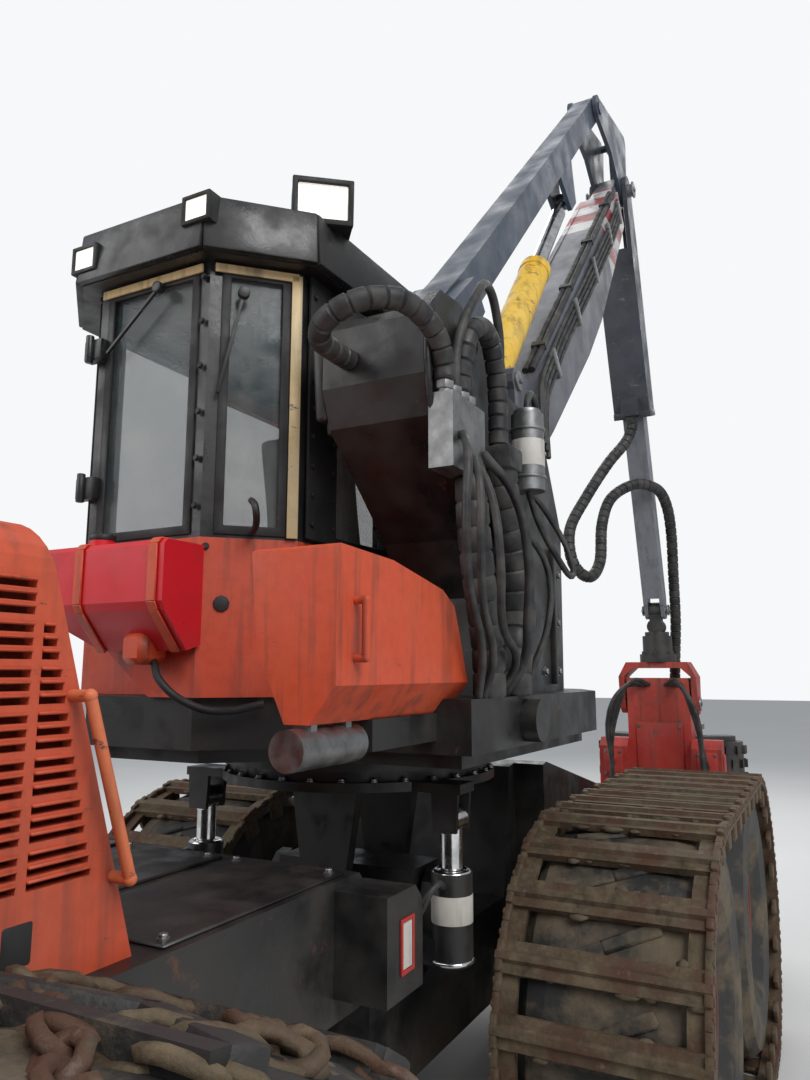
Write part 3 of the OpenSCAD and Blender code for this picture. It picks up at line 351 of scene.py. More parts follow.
def boom_paint(name):
    """Black boom paint scuffed to grey in large patches, both greys tinted blue as a painted sky sheen, with the worn
    band of slanting stripes on its upper half.
    """
    f = Finish(name, 0.36)
    # Large patches between a lighter and a darker grey, both tinted blue: scuffed paint with a painted sky sheen
    grey = f.blend(f.between(f.noise(1.8, 6), 0.35, 0.7), (0.12, 0.125, 0.15), (0.05, 0.053, 0.062))
    run = f.noise(3, 4, 0.6, f.stretched((7, 7, 0.7)))
    grey = f.blend(f.between(run, 0.5, 0.72, 0, 0.6), grey, (0.17, 0.17, 0.17))
    # After this turn X runs along the boom and Z square to it
    leaning = f.stretched((1, 1, 1), (0, BOOM_ANGLE, 0))
    start = BOOM_FOOT.x * cos(BOOM_ANGLE) + BOOM_FOOT.z * sin(BOOM_ANGLE)
    place = f.math("SUBTRACT", f.axis("X", leaning), start)
    slant = f.math("ADD", place, f.axis("Z", leaning))
    wave = f.math("SINE", f.math("MULTIPLY", slant, 2 * pi / STRIPE_PITCH))
    stripes = f.blend(f.between(wave, -0.03, 0.03), (0.46, 0.45, 0.44), (0.26, 0.035, 0.035))
    inside = f.math("MULTIPLY", f.between(place, STRIPES_FROM, STRIPES_FROM + 0.004),
                    f.between(place, STRIPES_TO + 0.004, STRIPES_TO))
    base = f.blend(f.math("MULTIPLY", inside, f.between(f.noise(9, 6, 0.7), 0.62, 0.53)), grey, stripes)
    bare = f.between(f.noise(12, 8, 0.78), 0.63, 0.67)
    f.colour(f.blend(bare, base, (0.11, 0.075, 0.055)))
    f.patchy(7, 0.26, 0.5)
    f.bump(f.math("ADD", f.noise(30, 4), f.math("MULTIPLY", bare, -0.8)), 0.15, 0.004)


def lamp_lens(name):
    """Ribbed glass of the work lamps, faintly lit."""
    f = Finish(name, 0.12)
    ridge = f.math("SINE", f.math("MULTIPLY", f.axis("Y"), 420))
    f.colour(f.blend(f.between(ridge, -1, 1, 0, 0.5), (0.95, 0.93, 0.86), (0.62, 0.6, 0.55)))
    f.surface("Emission Color", (1, 0.95, 0.82))
    f.surface("Emission Strength", 0.55)
    f.bump(ridge, 0.2, 0.002)


def clay_lumps(name):
    """Half dried clay with grit in it."""
    f = Finish(name, 0.9)
    f.colour(f.blend(f.between(f.noise(15, 6, 0.7), 0.35, 0.68), (0.05, 0.037, 0.021), (0.17, 0.13, 0.08)))
    f.patchy(20, 0.6, 0.95)
    f.bump(f.noise(70, 6, 0.75), 0.6, 0.008)


oily_black("chassis_black", 0.011, 0.28, mud_top=0.5)
oily_black("bogie_black", 0.018, 0.5, mud_top=0.75)
muddy_rubber("front_rubber", 0.55)
muddy_rubber("rear_rubber", 0.42)
worn_paint("rim_red", (0.30, 0.022, 0.016), (0.34, 0.06, 0.04), MUD, 1.0, 0.8, mud_top=0.75)
muddy_steel("track_steel")
plain_metal("rod_chrome", 0.72, 0.12, 0.02)
oily_black("platform_black", 0.009, 0.2)
worn_paint("cab_orange", ORANGE, FADED_ORANGE, (0.2, 0.05, 0.03), 0.5, 0.55)
oily_black("cab_black", 0.013, 0.12, 0.34)
window_glass("glass")
worn_cloth("seat_grey", (0.30, 0.28, 0.25))
moulded_plastic("tank_red", (0.62, 0.008, 0.018), (0.26, 0.03, 0.025))
worn_paint("cover_orange", (0.6, 0.068, 0.02), (0.6, 0.1, 0.042), (0.25, 0.05, 0.03), 0.4, 0.6)
plain_metal("canister_silver", 0.3, 0.4)
oily_black("pillar_black", 0.009, 0.26, 0.38)
plain_metal("valve_metal", 0.32, 0.42, 0.2)
wrapped_hose("hose_black")
boom_paint("boom_grey")
# Top link: dark paint, the blue in both of its tones a painted reflection of the sky
worn_paint("link_grey", SKY_TINTED_GREY, (0.04, 0.052, 0.075), (0.03, 0.028, 0.026), 0.7, 0.5, rough=0.36)
worn_paint("cylinder_yellow", (0.80, 0.47, 0.02), (0.78, 0.55, 0.14), (0.13, 0.1, 0.07), 1.3, 0.6)
plain_metal("pin_steel", 0.38, 0.38)
worn_paint("jib_grey", (0.055, 0.062, 0.078), (0.035, 0.037, 0.043), (0.13, 0.12, 0.115), 1.0, 0.4, rough=0.34)
worn_paint("extension_grey", (0.24, 0.25, 0.28), (0.15, 0.16, 0.18), (0.2, 0.19, 0.18), 1.2, 0.4, rough=0.36)
oily_black("rotator_black", 0.024, 0.45)
worn_paint("head_red", RED, FADED_RED, (0.12, 0.085, 0.07), 1.4, 0.7)
oily_black("arm_black", 0.025, 0.6)
plain_metal("knife_steel", 0.34, 0.4, 0.2, (1, 0.95, 0.9))
oily_black("engine_grey", 0.1, 0.4)
worn_paint("hood_orange", (0.58, 0.075, 0.025), (0.58, 0.105, 0.05), (0.25, 0.06, 0.03), 0.4, 0.4)
worn_paint("rail_orange", (0.72, 0.13, 0.04), (0.7, 0.22, 0.1), (0.1, 0.06, 0.05), 1.2, 0.3)
lamp_lens("lamp_white")
worn_paint("cream_border", (0.68, 0.5, 0.24), (0.55, 0.44, 0.26), (0.1, 0.09, 0.07), 0.8, 0.6)
oily_black("seal_black", 0.012, 0.1, 0.6)
muddy_steel("chain_steel", 0.2)
clay_lumps("clay")
worn_paint("white_label", (0.62, 0.6, 0.55), (0.5, 0.47, 0.42), (0.2, 0.19, 0.18), 0.6, 0.5)
worn_paint("sign_red", (0.5, 0.02, 0.02), (0.4, 0.04, 0.03), (0.2, 0.1, 0.08), 0.4, 0.4)

# Each CAD node takes the finish of its material slot
for part in frame["record"]["subparts"]:
    mesh = NODES[part["node"]].data
    mesh.materials.clear()
    mesh.materials.append(FINISHES[part["material_slot"]])


# Modelling by hand: each helper leaves one active piece in object mode
def deselect():
    if bpy.context.mode != "OBJECT":
        bpy.ops.object.mode_set(mode="OBJECT")
    bpy.ops.object.select_all(action="DESELECT")


def pick(obj):
    deselect()
    obj.select_set(True)
    bpy.context.view_layer.objects.active = obj


def outwards(obj):
    """Turns every face of a closed piece outwards."""
    pick(obj)
    bpy.ops.object.mode_set(mode="EDIT")
    bpy.ops.mesh.select_all(action="SELECT")
    bpy.ops.mesh.normals_make_consistent(inside=False)
    bpy.ops.object.mode_set(mode="OBJECT")
    return obj


def settle(obj, place=None):
    """Puts the piece's place into its mesh, so that its object sits at the origin."""
    pick(obj)
    if place is not None:
        obj.matrix_world = place @ obj.matrix_world
    bpy.ops.object.transform_apply(location=True, rotation=True, scale=True)
    return obj


def bevel_edges(obj, width, segments=2, sharp=30):
    """Bevels the edges that turn by more than the given angle."""
    pick(obj)
    bpy.ops.object.mode_set(mode="EDIT")
    bpy.ops.mesh.select_all(action="DESELECT")
    bpy.ops.mesh.select_mode(type="EDGE")
    bpy.ops.mesh.edges_select_sharp(sharpness=radians(sharp))
    bpy.ops.mesh.bevel(offset=width, segments=segments)
    bpy.ops.object.mode_set(mode="OBJECT")
    bpy.ops.object.shade_smooth_by_angle(angle=radians(40))
    return obj


def box_from(low, high, bevel=0.004, segments=2):
    """A bevelled box between two corners."""
    low, high = Vector(low), Vector(high)
    deselect()
    bpy.ops.mesh.primitive_cube_add(size=1, location=(low + high) / 2)
    obj = bpy.context.object
    obj.scale = high - low
    settle(obj)
    return bevel_edges(obj, bevel, segments)


def middle_box(middle, half, bevel=0.004, segments=2):
    """A box given by its middle and half its size each way."""
    return box_from(Vector(middle) - Vector(half), Vector(middle) + Vector(half), bevel, segments)


def disc_from(centre, axis, radius, depth, sides=24, bevel=0.003):
    """A round boss whose middle is at centre, along the axis."""
    deselect()
    bpy.ops.mesh.primitive_cylinder_add(vertices=sides, radius=radius, depth=depth)
    obj = bpy.context.object
    settle(obj, facing(centre, axis))
    return bevel_edges(obj, bevel, 2, 50)


def ring_from(centre, axis, radius, thick, sides=32, round_sides=10):
    """A round ring about an axis."""
    deselect()
    bpy.ops.mesh.primitive_torus_add(major_radius=radius, minor_radius=thick, major_segments=sides,
                                     minor_segments=round_sides)
    obj = bpy.context.object
    settle(obj, facing(centre, axis))
    bpy.ops.object.shade_smooth()
    return obj


def copied(obj, places):
    """Copies of a piece, each with its own mesh, at the given matrices; the first piece is used up."""
    made = []
    for place in places:
        twin = obj.copy()
        twin.data = obj.data.copy()
        twin.data.transform(place)
        made.append(linked(twin))
    bpy.data.objects.remove(obj)
    return made


def grouped(parts):
    """Parts joined into one."""
    deselect()
    for part in parts:
        part.select_set(True)
    bpy.context.view_layer.objects.active = parts[0]
    if len(parts) > 1:
        bpy.ops.object.join()
    return bpy.context.object


def joined(name, parts, body, finish):
    """Joins parts into one named piece that rides on a body and wears a finish."""
    obj = grouped(parts)
    obj.name = name
    obj.data.materials.clear()
    obj.data.materials.append(FINISHES[finish])
    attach(obj, body)
    return obj


def bolt(radius):
    """A hexagon head on a washer, pointing up from the origin."""
    deselect()
    bpy.ops.mesh.primitive_cylinder_add(vertices=6, radius=radius, depth=radius * 0.9,
                                        location=(0, 0, radius * 0.6))
    head = settle(bpy.context.object)
    bevel_edges(head, radius * 0.12, 1)
    bpy.ops.mesh.primitive_cylinder_add(vertices=14, radius=radius * 1.35, depth=radius * 0.24,
                                        location=(0, 0, radius * 0.12))
    return grouped([head, settle(bpy.context.object)])


def ring_places(centre, axis, radius, count):
    """Places evenly round a ring."""
    angles = [2 * pi * k / count for k in range(count)]
    return [facing(centre, axis) @ moved((radius * cos(a), radius * sin(a), 0)) for a in angles]


def spokes(centre, count):
    """Places round a wheel, each turned by its share of the round."""
    return [moved(centre) @ turned(360 / count * (k + 0.5), "Y") for k in range(count)]


def bolts(name, places, radius, body, finish="pin_steel"):
    return joined(name, copied(bolt(radius), places), body, finish)


def tube_from(points, radius, sides=10):
    """A smooth tube through points, made as a curve and then turned into a mesh."""
    deselect()
    data = bpy.data.curves.new("tube", "CURVE")
    data.dimensions = "3D"
    data.bevel_depth = radius
    data.bevel_resolution = max(1, sides // 4)
    data.resolution_u = 6
    data.use_fill_caps = True
    spline = data.splines.new("BEZIER")
    spline.bezier_points.add(len(points) - 1)
    for knot, point in zip(spline.bezier_points, points):
        knot.co = point
        knot.handle_left_type = "AUTO"
        knot.handle_right_type = "AUTO"
    pick(linked(bpy.data.objects.new("tube", data)))
    bpy.ops.object.convert(target="MESH")
    obj = bpy.context.object
    bpy.ops.object.shade_smooth()
    return obj


def tube_at(points, radius):
    """A tube through points given from the slewing axis."""
    return tube_from([at(*p) for p in points], radius)


def picture_frame(width, height, border, depth):
    """A rectangular frame in X and Z round the origin, its outer face towards -Y."""
    deselect()
    bpy.ops.mesh.primitive_plane_add(size=1, rotation=(pi / 2, 0, 0))
    obj = bpy.context.object
    obj.scale = (width, height, 1)
    settle(obj)
    bpy.ops.object.mode_set(mode="EDIT")
    bpy.ops.mesh.select_all(action="SELECT")
    bpy.ops.mesh.inset(thickness=border)
    bpy.ops.mesh.delete(type="FACE")
    bpy.ops.mesh.select_all(action="SELECT")
    bpy.ops.mesh.extrude_region_move(TRANSFORM_OT_translate={"value": (0, depth, 0)})
    bpy.ops.object.mode_set(mode="OBJECT")
    return bevel_edges(outwards(obj), min(border, depth) * 0.25, 2)


# The free hose between the jib and the head: its route, as in the part's source
HOSE_ROUTE = [(2.9783, -0.55, 3.8742), (2.9889, -0.55, 3.8415), (3.0028, -0.55, 3.7987), (2.98, -0.505, 3.68),
              (2.86, -0.395, 3.5), (2.705, -0.265, 3.23), (2.56, -0.18, 2.98), (2.5, -0.21, 2.74),
              (2.57, -0.3, 2.64), (2.69, -0.35, 2.76), (2.79, -0.35, 3.04), (2.9, -0.4, 3.25), (3.06, -0.54, 3.37),
              (3.2, -0.67, 3.35), (3.33, -0.715, 3.24), (3.44, -0.72, 3.04), (3.56, -0.7, 2.73), (3.68, -0.68, 2.4),
              (3.742, -0.652, 2.11), (3.75, -0.64, 1.93), (3.75, -0.64, 1.87), (3.75, -0.64, 1.821)]
HOSE_RADIUS = 0.04
# Sleeves: sides, length of one turn by hose, how far it is drawn in between turns, and the shares of a turn at
# which it has a ring, the first of them the one drawn in
SLEEVE_SIDES = 14
TIP_PITCH = 0.055
SLIM_PITCH = 0.05
THICK_PITCH = 0.075
SLEEVE_DRAWN_IN = 0.006
SLEEVE_SHARES = (0.0, 0.12, 0.5, 0.88)


def smooth_route(points, steps=10):
    """The same smooth line through points as the part's source draws."""
    line = []
    last = len(points) - 1
    for i in range(last):
        a, b = points[max(i - 1, 0)], points[i]
        c, d = points[i + 1], points[min(i + 2, last)]
        for j in range(steps):
            t = j / steps
            line.append(0.5 * (2 * b + (c - a) * t + (2 * a - 5 * b + 4 * c - d) * t * t
                               + (3 * b - a - 3 * c + d) * t ** 3))
    return line + [points[last]]


def wrapped_tube(name, points, radius, pitch):
    """A hose in a segmented sleeve, through points from the slewing axis; gives its middle line and length too."""
    line = smooth_route([at(*p) for p in points])
    lengths = [0.0]
    for p, q in zip(line, line[1:]):
        lengths.append(lengths[-1] + (q - p).length)
    total = lengths[-1]
    turns = max(2, round(total / pitch))
    stations = [total * (k + s) / turns for k in range(turns) for s in SLEEVE_SHARES] + [total]
    verts, faces = [], []
    sides = SLEEVE_SIDES
    index = 0
    for n, s in enumerate(stations):
        while index < len(lengths) - 2 and lengths[index + 1] < s:
            index += 1
        t = (s - lengths[index]) / max(lengths[index + 1] - lengths[index], 1e-9)
        centre = line[index].lerp(line[index + 1], min(t, 1))
        heading = (line[index + 1] - line[index]).normalized()
        u = heading.cross(Vector((0, 1, 0))).normalized()
        v = heading.cross(u)
        r = radius - (0 if n % len(SLEEVE_SHARES) else SLEEVE_DRAWN_IN)
        for k in range(sides):
            a = 2 * pi * k / sides
            verts.append(centre + r * (cos(a) * u + sin(a) * v))
    for i in range(len(stations) - 1):
        for k in range(sides):
            m = (k + 1) % sides
            faces.append((i * sides + k, i * sides + m, (i + 1) * sides + m, (i + 1) * sides + k))
    # Both ends are closed
    base = (len(stations) - 1) * sides
    faces.append(tuple(range(sides - 1, -1, -1)))
    faces.append(tuple(range(base, base + sides)))
    mesh = bpy.data.meshes.new(name)
    mesh.from_pydata([tuple(p) for p in verts], [], faces)
    obj = outwards(linked(bpy.data.objects.new(name, mesh)))
    bpy.ops.object.shade_smooth_by_angle(angle=radians(35))
    return obj, line, total


def add_tip_hose():
    hose, line, length = wrapped_tube("tip_hose_wrapped", HOSE_ROUTE, HOSE_RADIUS, TIP_PITCH)
    hose.data.materials.append(FINISHES["hose_black"])
    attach(hose, "jib")
    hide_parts("tip_hose")


add_tip_hose()

# Hoses on the pillar: routes and radii, as in the part's source
PILLAR_HOSES = [
    (0.034, [(-0.82, -0.77, 2.8603), (-0.82, -0.77, 2.91), (-0.88, -0.765, 3.0), (-1.0, -0.725, 3.05),
             (-1.1, -0.64, 3.03), (-1.12, -0.54, 2.985), (-1.06, -0.48, 2.962), (-0.98, -0.47, 2.96),
             (-0.8753, -0.47, 2.96)]),
    (0.034, [(-0.7, -0.77, 2.8603), (-0.7, -0.77, 2.91), (-0.7, -0.778, 2.965), (-0.68, -0.79, 3.05),
             (-0.61, -0.8, 3.11), (-0.52, -0.8, 3.1), (-0.46, -0.797, 3.01), (-0.44, -0.795, 2.92),
             (-0.44, -0.795, 2.83), (-0.44, -0.795, 2.7)]),
    (0.052, [(-0.68, -0.795, 2.5897), (-0.68, -0.795, 2.53), (-0.67, -0.795, 2.44), (-0.64, -0.795, 2.31),
             (-0.6, -0.795, 2.18), (-0.57, -0.795, 2.08), (-0.56, -0.795, 2.01), (-0.56, -0.795, 1.9203)]),
    (0.06, [(-0.44, -0.795, 2.69), (-0.43, -0.795, 2.62), (-0.39, -0.795, 2.52), (-0.32, -0.795, 2.38),
            (-0.28, -0.795, 2.2), (-0.32, -0.795, 2.06), (-0.34, -0.795, 2.0), (-0.34, -0.795, 1.9203)])]
# Middle of the oil filter, seen from above
FILTER = (-0.15, -0.8)
# Thin hoses: radius and points, looped loosely between the valve block, the platform and the crane's foot
THIN_HOSES = [
    (0.013, [(-0.79, -0.815, 2.7), (-0.86, -0.86, 2.62), (-0.9, -0.87, 2.45), (-0.84, -0.85, 2.25),
             (-0.7, -0.83, 2.05), (-0.66, -0.8, 1.925)]),
    (0.013, [(-0.74, -0.815, 2.66), (-0.8, -0.87, 2.55), (-0.82, -0.88, 2.38), (-0.76, -0.86, 2.2),
             (-0.64, -0.84, 2.03), (-0.62, -0.8, 1.925)]),
    (0.013, [(-0.68, -0.815, 2.64), (-0.72, -0.88, 2.5), (-0.72, -0.9, 2.32), (-0.66, -0.88, 2.14),
             (-0.5, -0.86, 2.02), (-0.48, -0.79, 1.925)]),
    (0.016, [(-0.62, -0.81, 2.68), (-0.54, -0.88, 2.56), (-0.5, -0.91, 2.36), (-0.46, -0.89, 2.16),
             (-0.42, -0.86, 2.03), (-0.42, -0.79, 1.925)]),
    (0.012, [(-0.24, -0.735, 2.6), (-0.2, -0.8, 2.5), (-0.14, -0.86, 2.36), (-0.16, -0.86, 2.16),
             (-0.2, -0.82, 2.02), (-0.2, -0.78, 1.925)]),
    (0.012, [(-0.15, -0.8, 2.65), (-0.12, -0.82, 2.55), (-0.02, -0.86, 2.42), (0.1, -0.88, 2.36),
             (0.17, -0.85, 2.46), (0.12, -0.78, 2.62), (0.06, -0.735, 2.7)]),
    (0.014, [(-0.15, -0.8, 2.94), (-0.14, -0.8, 3.0), (-0.06, -0.79, 3.05), (0.02, -0.78, 3.0), (0.03, -0.76, 2.92),
             (0.02, -0.735, 2.84)]),
    (0.016, [(-0.75, -0.775, 2.86), (-0.75, -0.78, 2.98), (-0.64, -0.8, 3.2), (-0.5, -0.79, 3.3),
             (-0.38, -0.775, 3.24), (-0.33, -0.765, 3.1), (-0.33, -0.75, 2.98)])]


def add_pillar_hoses():
    sleeves = [wrapped_tube("sleeve", points, radius, SLIM_PITCH if radius < 0.05 else THICK_PITCH)[0]
               for radius, points in PILLAR_HOSES]
    # Block that the top loop and the thick hose meet in
    sleeves.append(box_from(at(-0.5, -0.86, 2.66), at(-0.38, -0.73, 2.74), 0.01))
    piece = joined("pillar_hoses_sleeved", sleeves, "slew_platform", "hose_black")
    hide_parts("pillar_hoses")
    thin = [tube_at(points, radius) for radius, points in THIN_HOSES]
    joined("thin_hoses", thin, "slew_platform", "hose_black")
    # Clamp bands and label on the filter, and unions on the valve block
    x, y = FILTER
    bands = [ring_from(at(x, y, z), UP, 0.0605, 0.006, 28, 8) for z in (2.70, 2.88)]
    bands.append(disc_from(at(x, y, 2.945), UP, 0.05, 0.03, 24, 0.006))
    bands += [disc_from(at(u, -0.77, 2.845), UP, 0.031, 0.026, 6) for u in (-0.82, -0.76, -0.7, -0.65)]
    joined("filter_bands", bands, "slew_platform", "valve_metal")
    label = disc_from(at(x, y, 2.79), UP, 0.0612, 0.1, 32, 0.001)
    joined("filter_label", [label], "slew_platform", "white_label")


add_pillar_hoses()


# Cab: seals and borders round the windows, lamps, hinges, bolts and a seat
def wall(i):
    """Start, direction, outward normal and length of the cab's wall i."""
    a, b = Vector(CAB[i]), Vector(CAB[(i + 1) % len(CAB)])
    d = (b - a).normalized()
    return a, d, Vector((d.y, -d.x)), (b - a).length


def on_wall(i, share_of_length, z, proud=0.0):
    """A matrix whose X runs along the wall and -Y points out of it."""
    a, d, n, length = wall(i)
    spot = a + d * length * share_of_length + n * proud
    turn = Matrix.Rotation(math.atan2(d.y, d.x), 4, "Z")
    return moved(at(spot.x, spot.y, z)) @ turn


def add_window_borders():
    seals, creams = [], []
    low, high = WINDOW_Z
    for i in (0, 1, 2, 4, 6, 7, 3):
        seal = picture_frame(wall(i)[3] - 2 * POST + SEAL, high - low + SEAL, SEAL, 0.014)
        seals.append(settle(seal, on_wall(i, 0.5, (low + high) / 2, 0.008)))
    # Painted border over the chamfered corner window and the rear one, and down the corner's front side
    for i, short in ((0, 0.015), (7, 0.02)):
        reach = wall(i)[3] / 2 - short
        strip = middle_box((0, 0, 0), (reach, 0.004, 0.015), 0.002)
        creams.append(settle(strip, on_wall(i, 0.5, high + 0.012, 0.014)))
    upright = box_from((-0.018, -0.004, low - 0.02), (0.018, 0.004, high + 0.02), 0.002)
    creams.append(settle(upright, on_wall(0, 0.93, 0, 0.014)))
    # Bolted plate over the post beside the corner window
    plate = box_from((-0.085, -0.006, SILL_Z + 0.01), (0.085, 0.006, EAVES_Z), 0.003)
    seals.append(settle(plate, on_wall(1, 0.06, 0, 0.016)))
    joined("window_seals", seals, "slew_platform", "seal_black")
    joined("window_borders", creams, "slew_platform", "cream_border")


def add_cab_bolts():
    spots = []
    for i in range(len(CAB)):
        last = max(2, int(wall(i)[3] / BOLT_SPACING)) - 1
        for k in range(last + 1):
            share = END_BOLT + (1 - 2 * END_BOLT) * k / last
            spots += [(i, share, z, 0.0) for z in (SILL_Z - 0.03, EAVES_Z - 0.016)]
    # Two rows up the bolted plate, and one down the seam between the rear and the corner window
    for k in range(9):
        spots += [(1, share, SILL_Z + 0.06 + 0.1 * k, 0.022) for share in (0.025, 0.095)]
    spots += [(7, 0.965, SILL_Z + 0.1 + 0.155 * k, 0.01) for k in range(6)]
    places = [facing(on_wall(*spot).translation, (*wall(spot[0])[2], 0)) for spot in spots]
    bolts("cab_bolts", places, 0.009, "slew_platform", "seal_black")


# The turned lamp on the roof's right edge, as in the part's source
SIDE_LAMP = moved(at(-0.7, -0.235, 3.5)) @ turned(38, "Z") @ turned(-6, "Y")


def add_lamps():
    bezels = []
    for y, z in ((0.5, 3.44), (-0.01, 3.492)):
        rim = picture_frame(0.118, 0.102, 0.014, 0.02)
        bezels.append(settle(rim, moved(at(-1.098, y, z)) @ turned(-90, "Z")))
    rim = settle(picture_frame(0.214, 0.164, 0.02, 0.03), turned(-90, "Z"))
    bezels.append(settle(rim, SIDE_LAMP @ moved((-0.088, 0, 0.12))))
    # Cooling ribs on the turned lamp's back
    for k in range(5):
        rib = box_from((0.07, -0.09 + 0.04 * k, 0.055), (0.092, -0.078 + 0.04 * k, 0.185), 0.004)
        bezels.append(settle(rib, SIDE_LAMP))
    joined("lamp_bezels", bezels, "slew_platform", "seal_black")


# Fascia boards: lean in degrees, middle height, distance out from the wall, half sizes, and reach to a mitre
FASCIA_LEAN = 5
FASCIA_Z = 3.448
FASCIA_PROUD = 0.072
FASCIA_HALF_DEPTH = 0.014
FASCIA_HALF_HEIGHT = 0.095
MITRE_REACH = 0.08


def add_roof_trim():
    """Leaning fascia boards round the roof, the drip edge over the windscreen, hinges and wipers."""
    parts = []
    for i in range(len(CAB)):
        # Each board runs on to the mitre with its neighbours
        length = wall(i)[3]
        for other in ((i - 1) % len(CAB), (i + 1) % len(CAB)):
            length += MITRE_REACH * math.tan(math.acos(min(1, wall(i)[1].dot(wall(other)[1]))) / 2)
        board = middle_box((0, 0, 0), (length / 2, FASCIA_HALF_DEPTH, FASCIA_HALF_HEIGHT), 0.006)
        settle(board, turned(-FASCIA_LEAN, "X"))
        parts.append(settle(board, on_wall(i, 0.5, FASCIA_Z, FASCIA_PROUD)))
    parts.append(box_from(at(1.24, -0.14, EAVES_Z + 0.06), at(1.345, 0.62, EAVES_Z + 0.092), 0.01, 3))
    for z in (2.62, 3.12):
        hinge = box_from((-0.035, -0.02, -0.04), (0.05, 0.02, 0.04), 0.008)
        parts.append(settle(hinge, on_wall(7, 0.0, z, 0.02)))
        parts.append(disc_from(on_wall(7, 0.0, z, 0.045).translation, UP, 0.014, 0.1, 14))
    # Wipers on the rear and the corner window
    for i, share, z, tilt, reach in ((7, 0.6, 3.29, 50, 0.3), (0, 0.35, 3.24, 12, 0.36)):
        arm = box_from((-0.006, -0.005, -reach), (0.006, 0.005, 0), 0.002)
        settle(arm, turned(tilt, "Y"))
        place = on_wall(i, share, z, 0.03)
        parts.append(settle(arm, place))
        parts.append(disc_from(place.translation, (*wall(i)[2], 0), 0.02, 0.03, 14, 0.004))
    joined("roof_trim", parts, "slew_platform", "cab_black")


add_window_borders()
add_cab_bolts()
add_lamps()
add_roof_trim()


# Cushions: edge radius as a share of the thickness, half width of a seam as a share of half the cushion, its depth
# as a share of the crown, how far the sides are drawn in between the corners, and how soft the cushion is
CUSHION_EDGE = 0.28
SEAM_WIDTH = 0.05
SEAM_DEPTH = 0.6
SIDES_DRAWN_IN = 0.03


def crowned_cushion(name, low, high, crown, seams):
    """A stuffed form: a box pulled in between its corners and swollen in the middle, with sewn channels."""
    low, high = Vector(low), Vector(high)
    obj = box_from(low, high, min(high - low) * CUSHION_EDGE, 3)
    bpy.ops.object.mode_set(mode="EDIT")
    bpy.ops.mesh.select_all(action="SELECT")
    bpy.ops.mesh.subdivide(number_cuts=5)
    bpy.ops.object.mode_set(mode="OBJECT")
    size = high - low
    thin = list(size).index(min(size))
    wide = [k for k in range(3) if k != thin]
    middle = (low + high) / 2
    for v in obj.data.vertices:
        a = (v.co[wide[0]] - middle[wide[0]]) / size[wide[0]] * 2
        b = (v.co[wide[1]] - middle[wide[1]]) / size[wide[1]] * 2
        swell = max(0.0, 1 - a * a) * max(0.0, 1 - b * b)
        groove = sum(math.exp(-((b - s) / SEAM_WIDTH) ** 2) for s in seams)
        out = 1 if v.co[thin] > middle[thin] else -1
        v.co[thin] += out * (crown * swell - crown * SEAM_DEPTH * groove * swell ** 0.3) - out * crown
        v.co[wide[0]] -= (v.co[wide[0]] - middle[wide[0]]) * SIDES_DRAWN_IN * (1 - b * b)
    pick(obj)
    bpy.ops.object.modifier_add(type="SUBSURF")
    obj.modifiers[-1].levels = 1
    obj.modifiers[-1].render_levels = 1
    bpy.ops.object.modifier_apply(modifier=obj.modifiers[-1].name)
    bpy.ops.object.shade_smooth()
    obj.name = name
    return obj


def add_seat():
    """Driver's seat: cushion, leaning back and arm rests over a post."""
    cushion = crowned_cushion("seat_cushion", at(0.0, 0.015, 2.335), at(0.54, 0.505, 2.448), 0.012, (-0.45, 0.45))
    back = crowned_cushion("seat_back", (-0.06, -0.23, -0.29), (0.06, 0.23, 0.31), 0.012, (-0.4, 0.0, 0.4))
    settle(back, moved(at(-0.005, 0.26, 2.73)) @ turned(-9, "Y"))
    rests = [crowned_cushion(f"seat_arm_{k}", at(0.082, y, 2.562), at(0.558, y + 0.07, 2.618), 0.006, ())
             for k, y in enumerate((-0.075, 0.525))]
    for pad in (cushion, back, *rests):
        pad.data.materials.append(FINISHES["seat_grey"])
        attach(pad, "slew_platform")
    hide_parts("seat")
    hard = [box_from(at(0.06, 0.08, 1.966), at(0.42, 0.44, 2.334), 0.02, 3)]
    for y in (-0.07, 0.53):
        hard.append(box_from(at(0.18, y, 2.382), at(0.30, y + 0.06, 2.56), 0.008))
        hard.append(disc_from(at(0.48, y + 0.03, 2.675), UP, 0.02, 0.11, 16, 0.008))
    for y in (-0.01, 0.49):
        hard.append(box_from(at(0.18, y, 2.384), at(0.30, y + 0.04, 2.418), 0.004))
    joined("seat_frame", hard, "slew_platform", "seal_black")


add_seat()


# Band tracks: link plates and ridges at each shoe, with their bolts
def shoe_places(sign):
    """A place for each shoe of one band, its X pointing outwards."""
    gap = BOGIE_X[1] - BOGIE_X[0]
    shoes = []
    for k in range(STRAIGHT_SHOES):
        shoes += [((k + 0.5) * gap / STRAIGHT_SHOES, side) for side in (90, -90)]
    for k in range(END_SHOES):
        turn = (k + 0.5) * 180 / END_SHOES
        shoes += [(0.0, 90 + turn), (gap, -90 + turn)]
    return [moved(at(BOGIE_X[0] + x, sign * FRONT_WHEEL_Y, FRONT_WHEEL_Z)) @ turned(-angle, "Y") for x, angle in shoes]


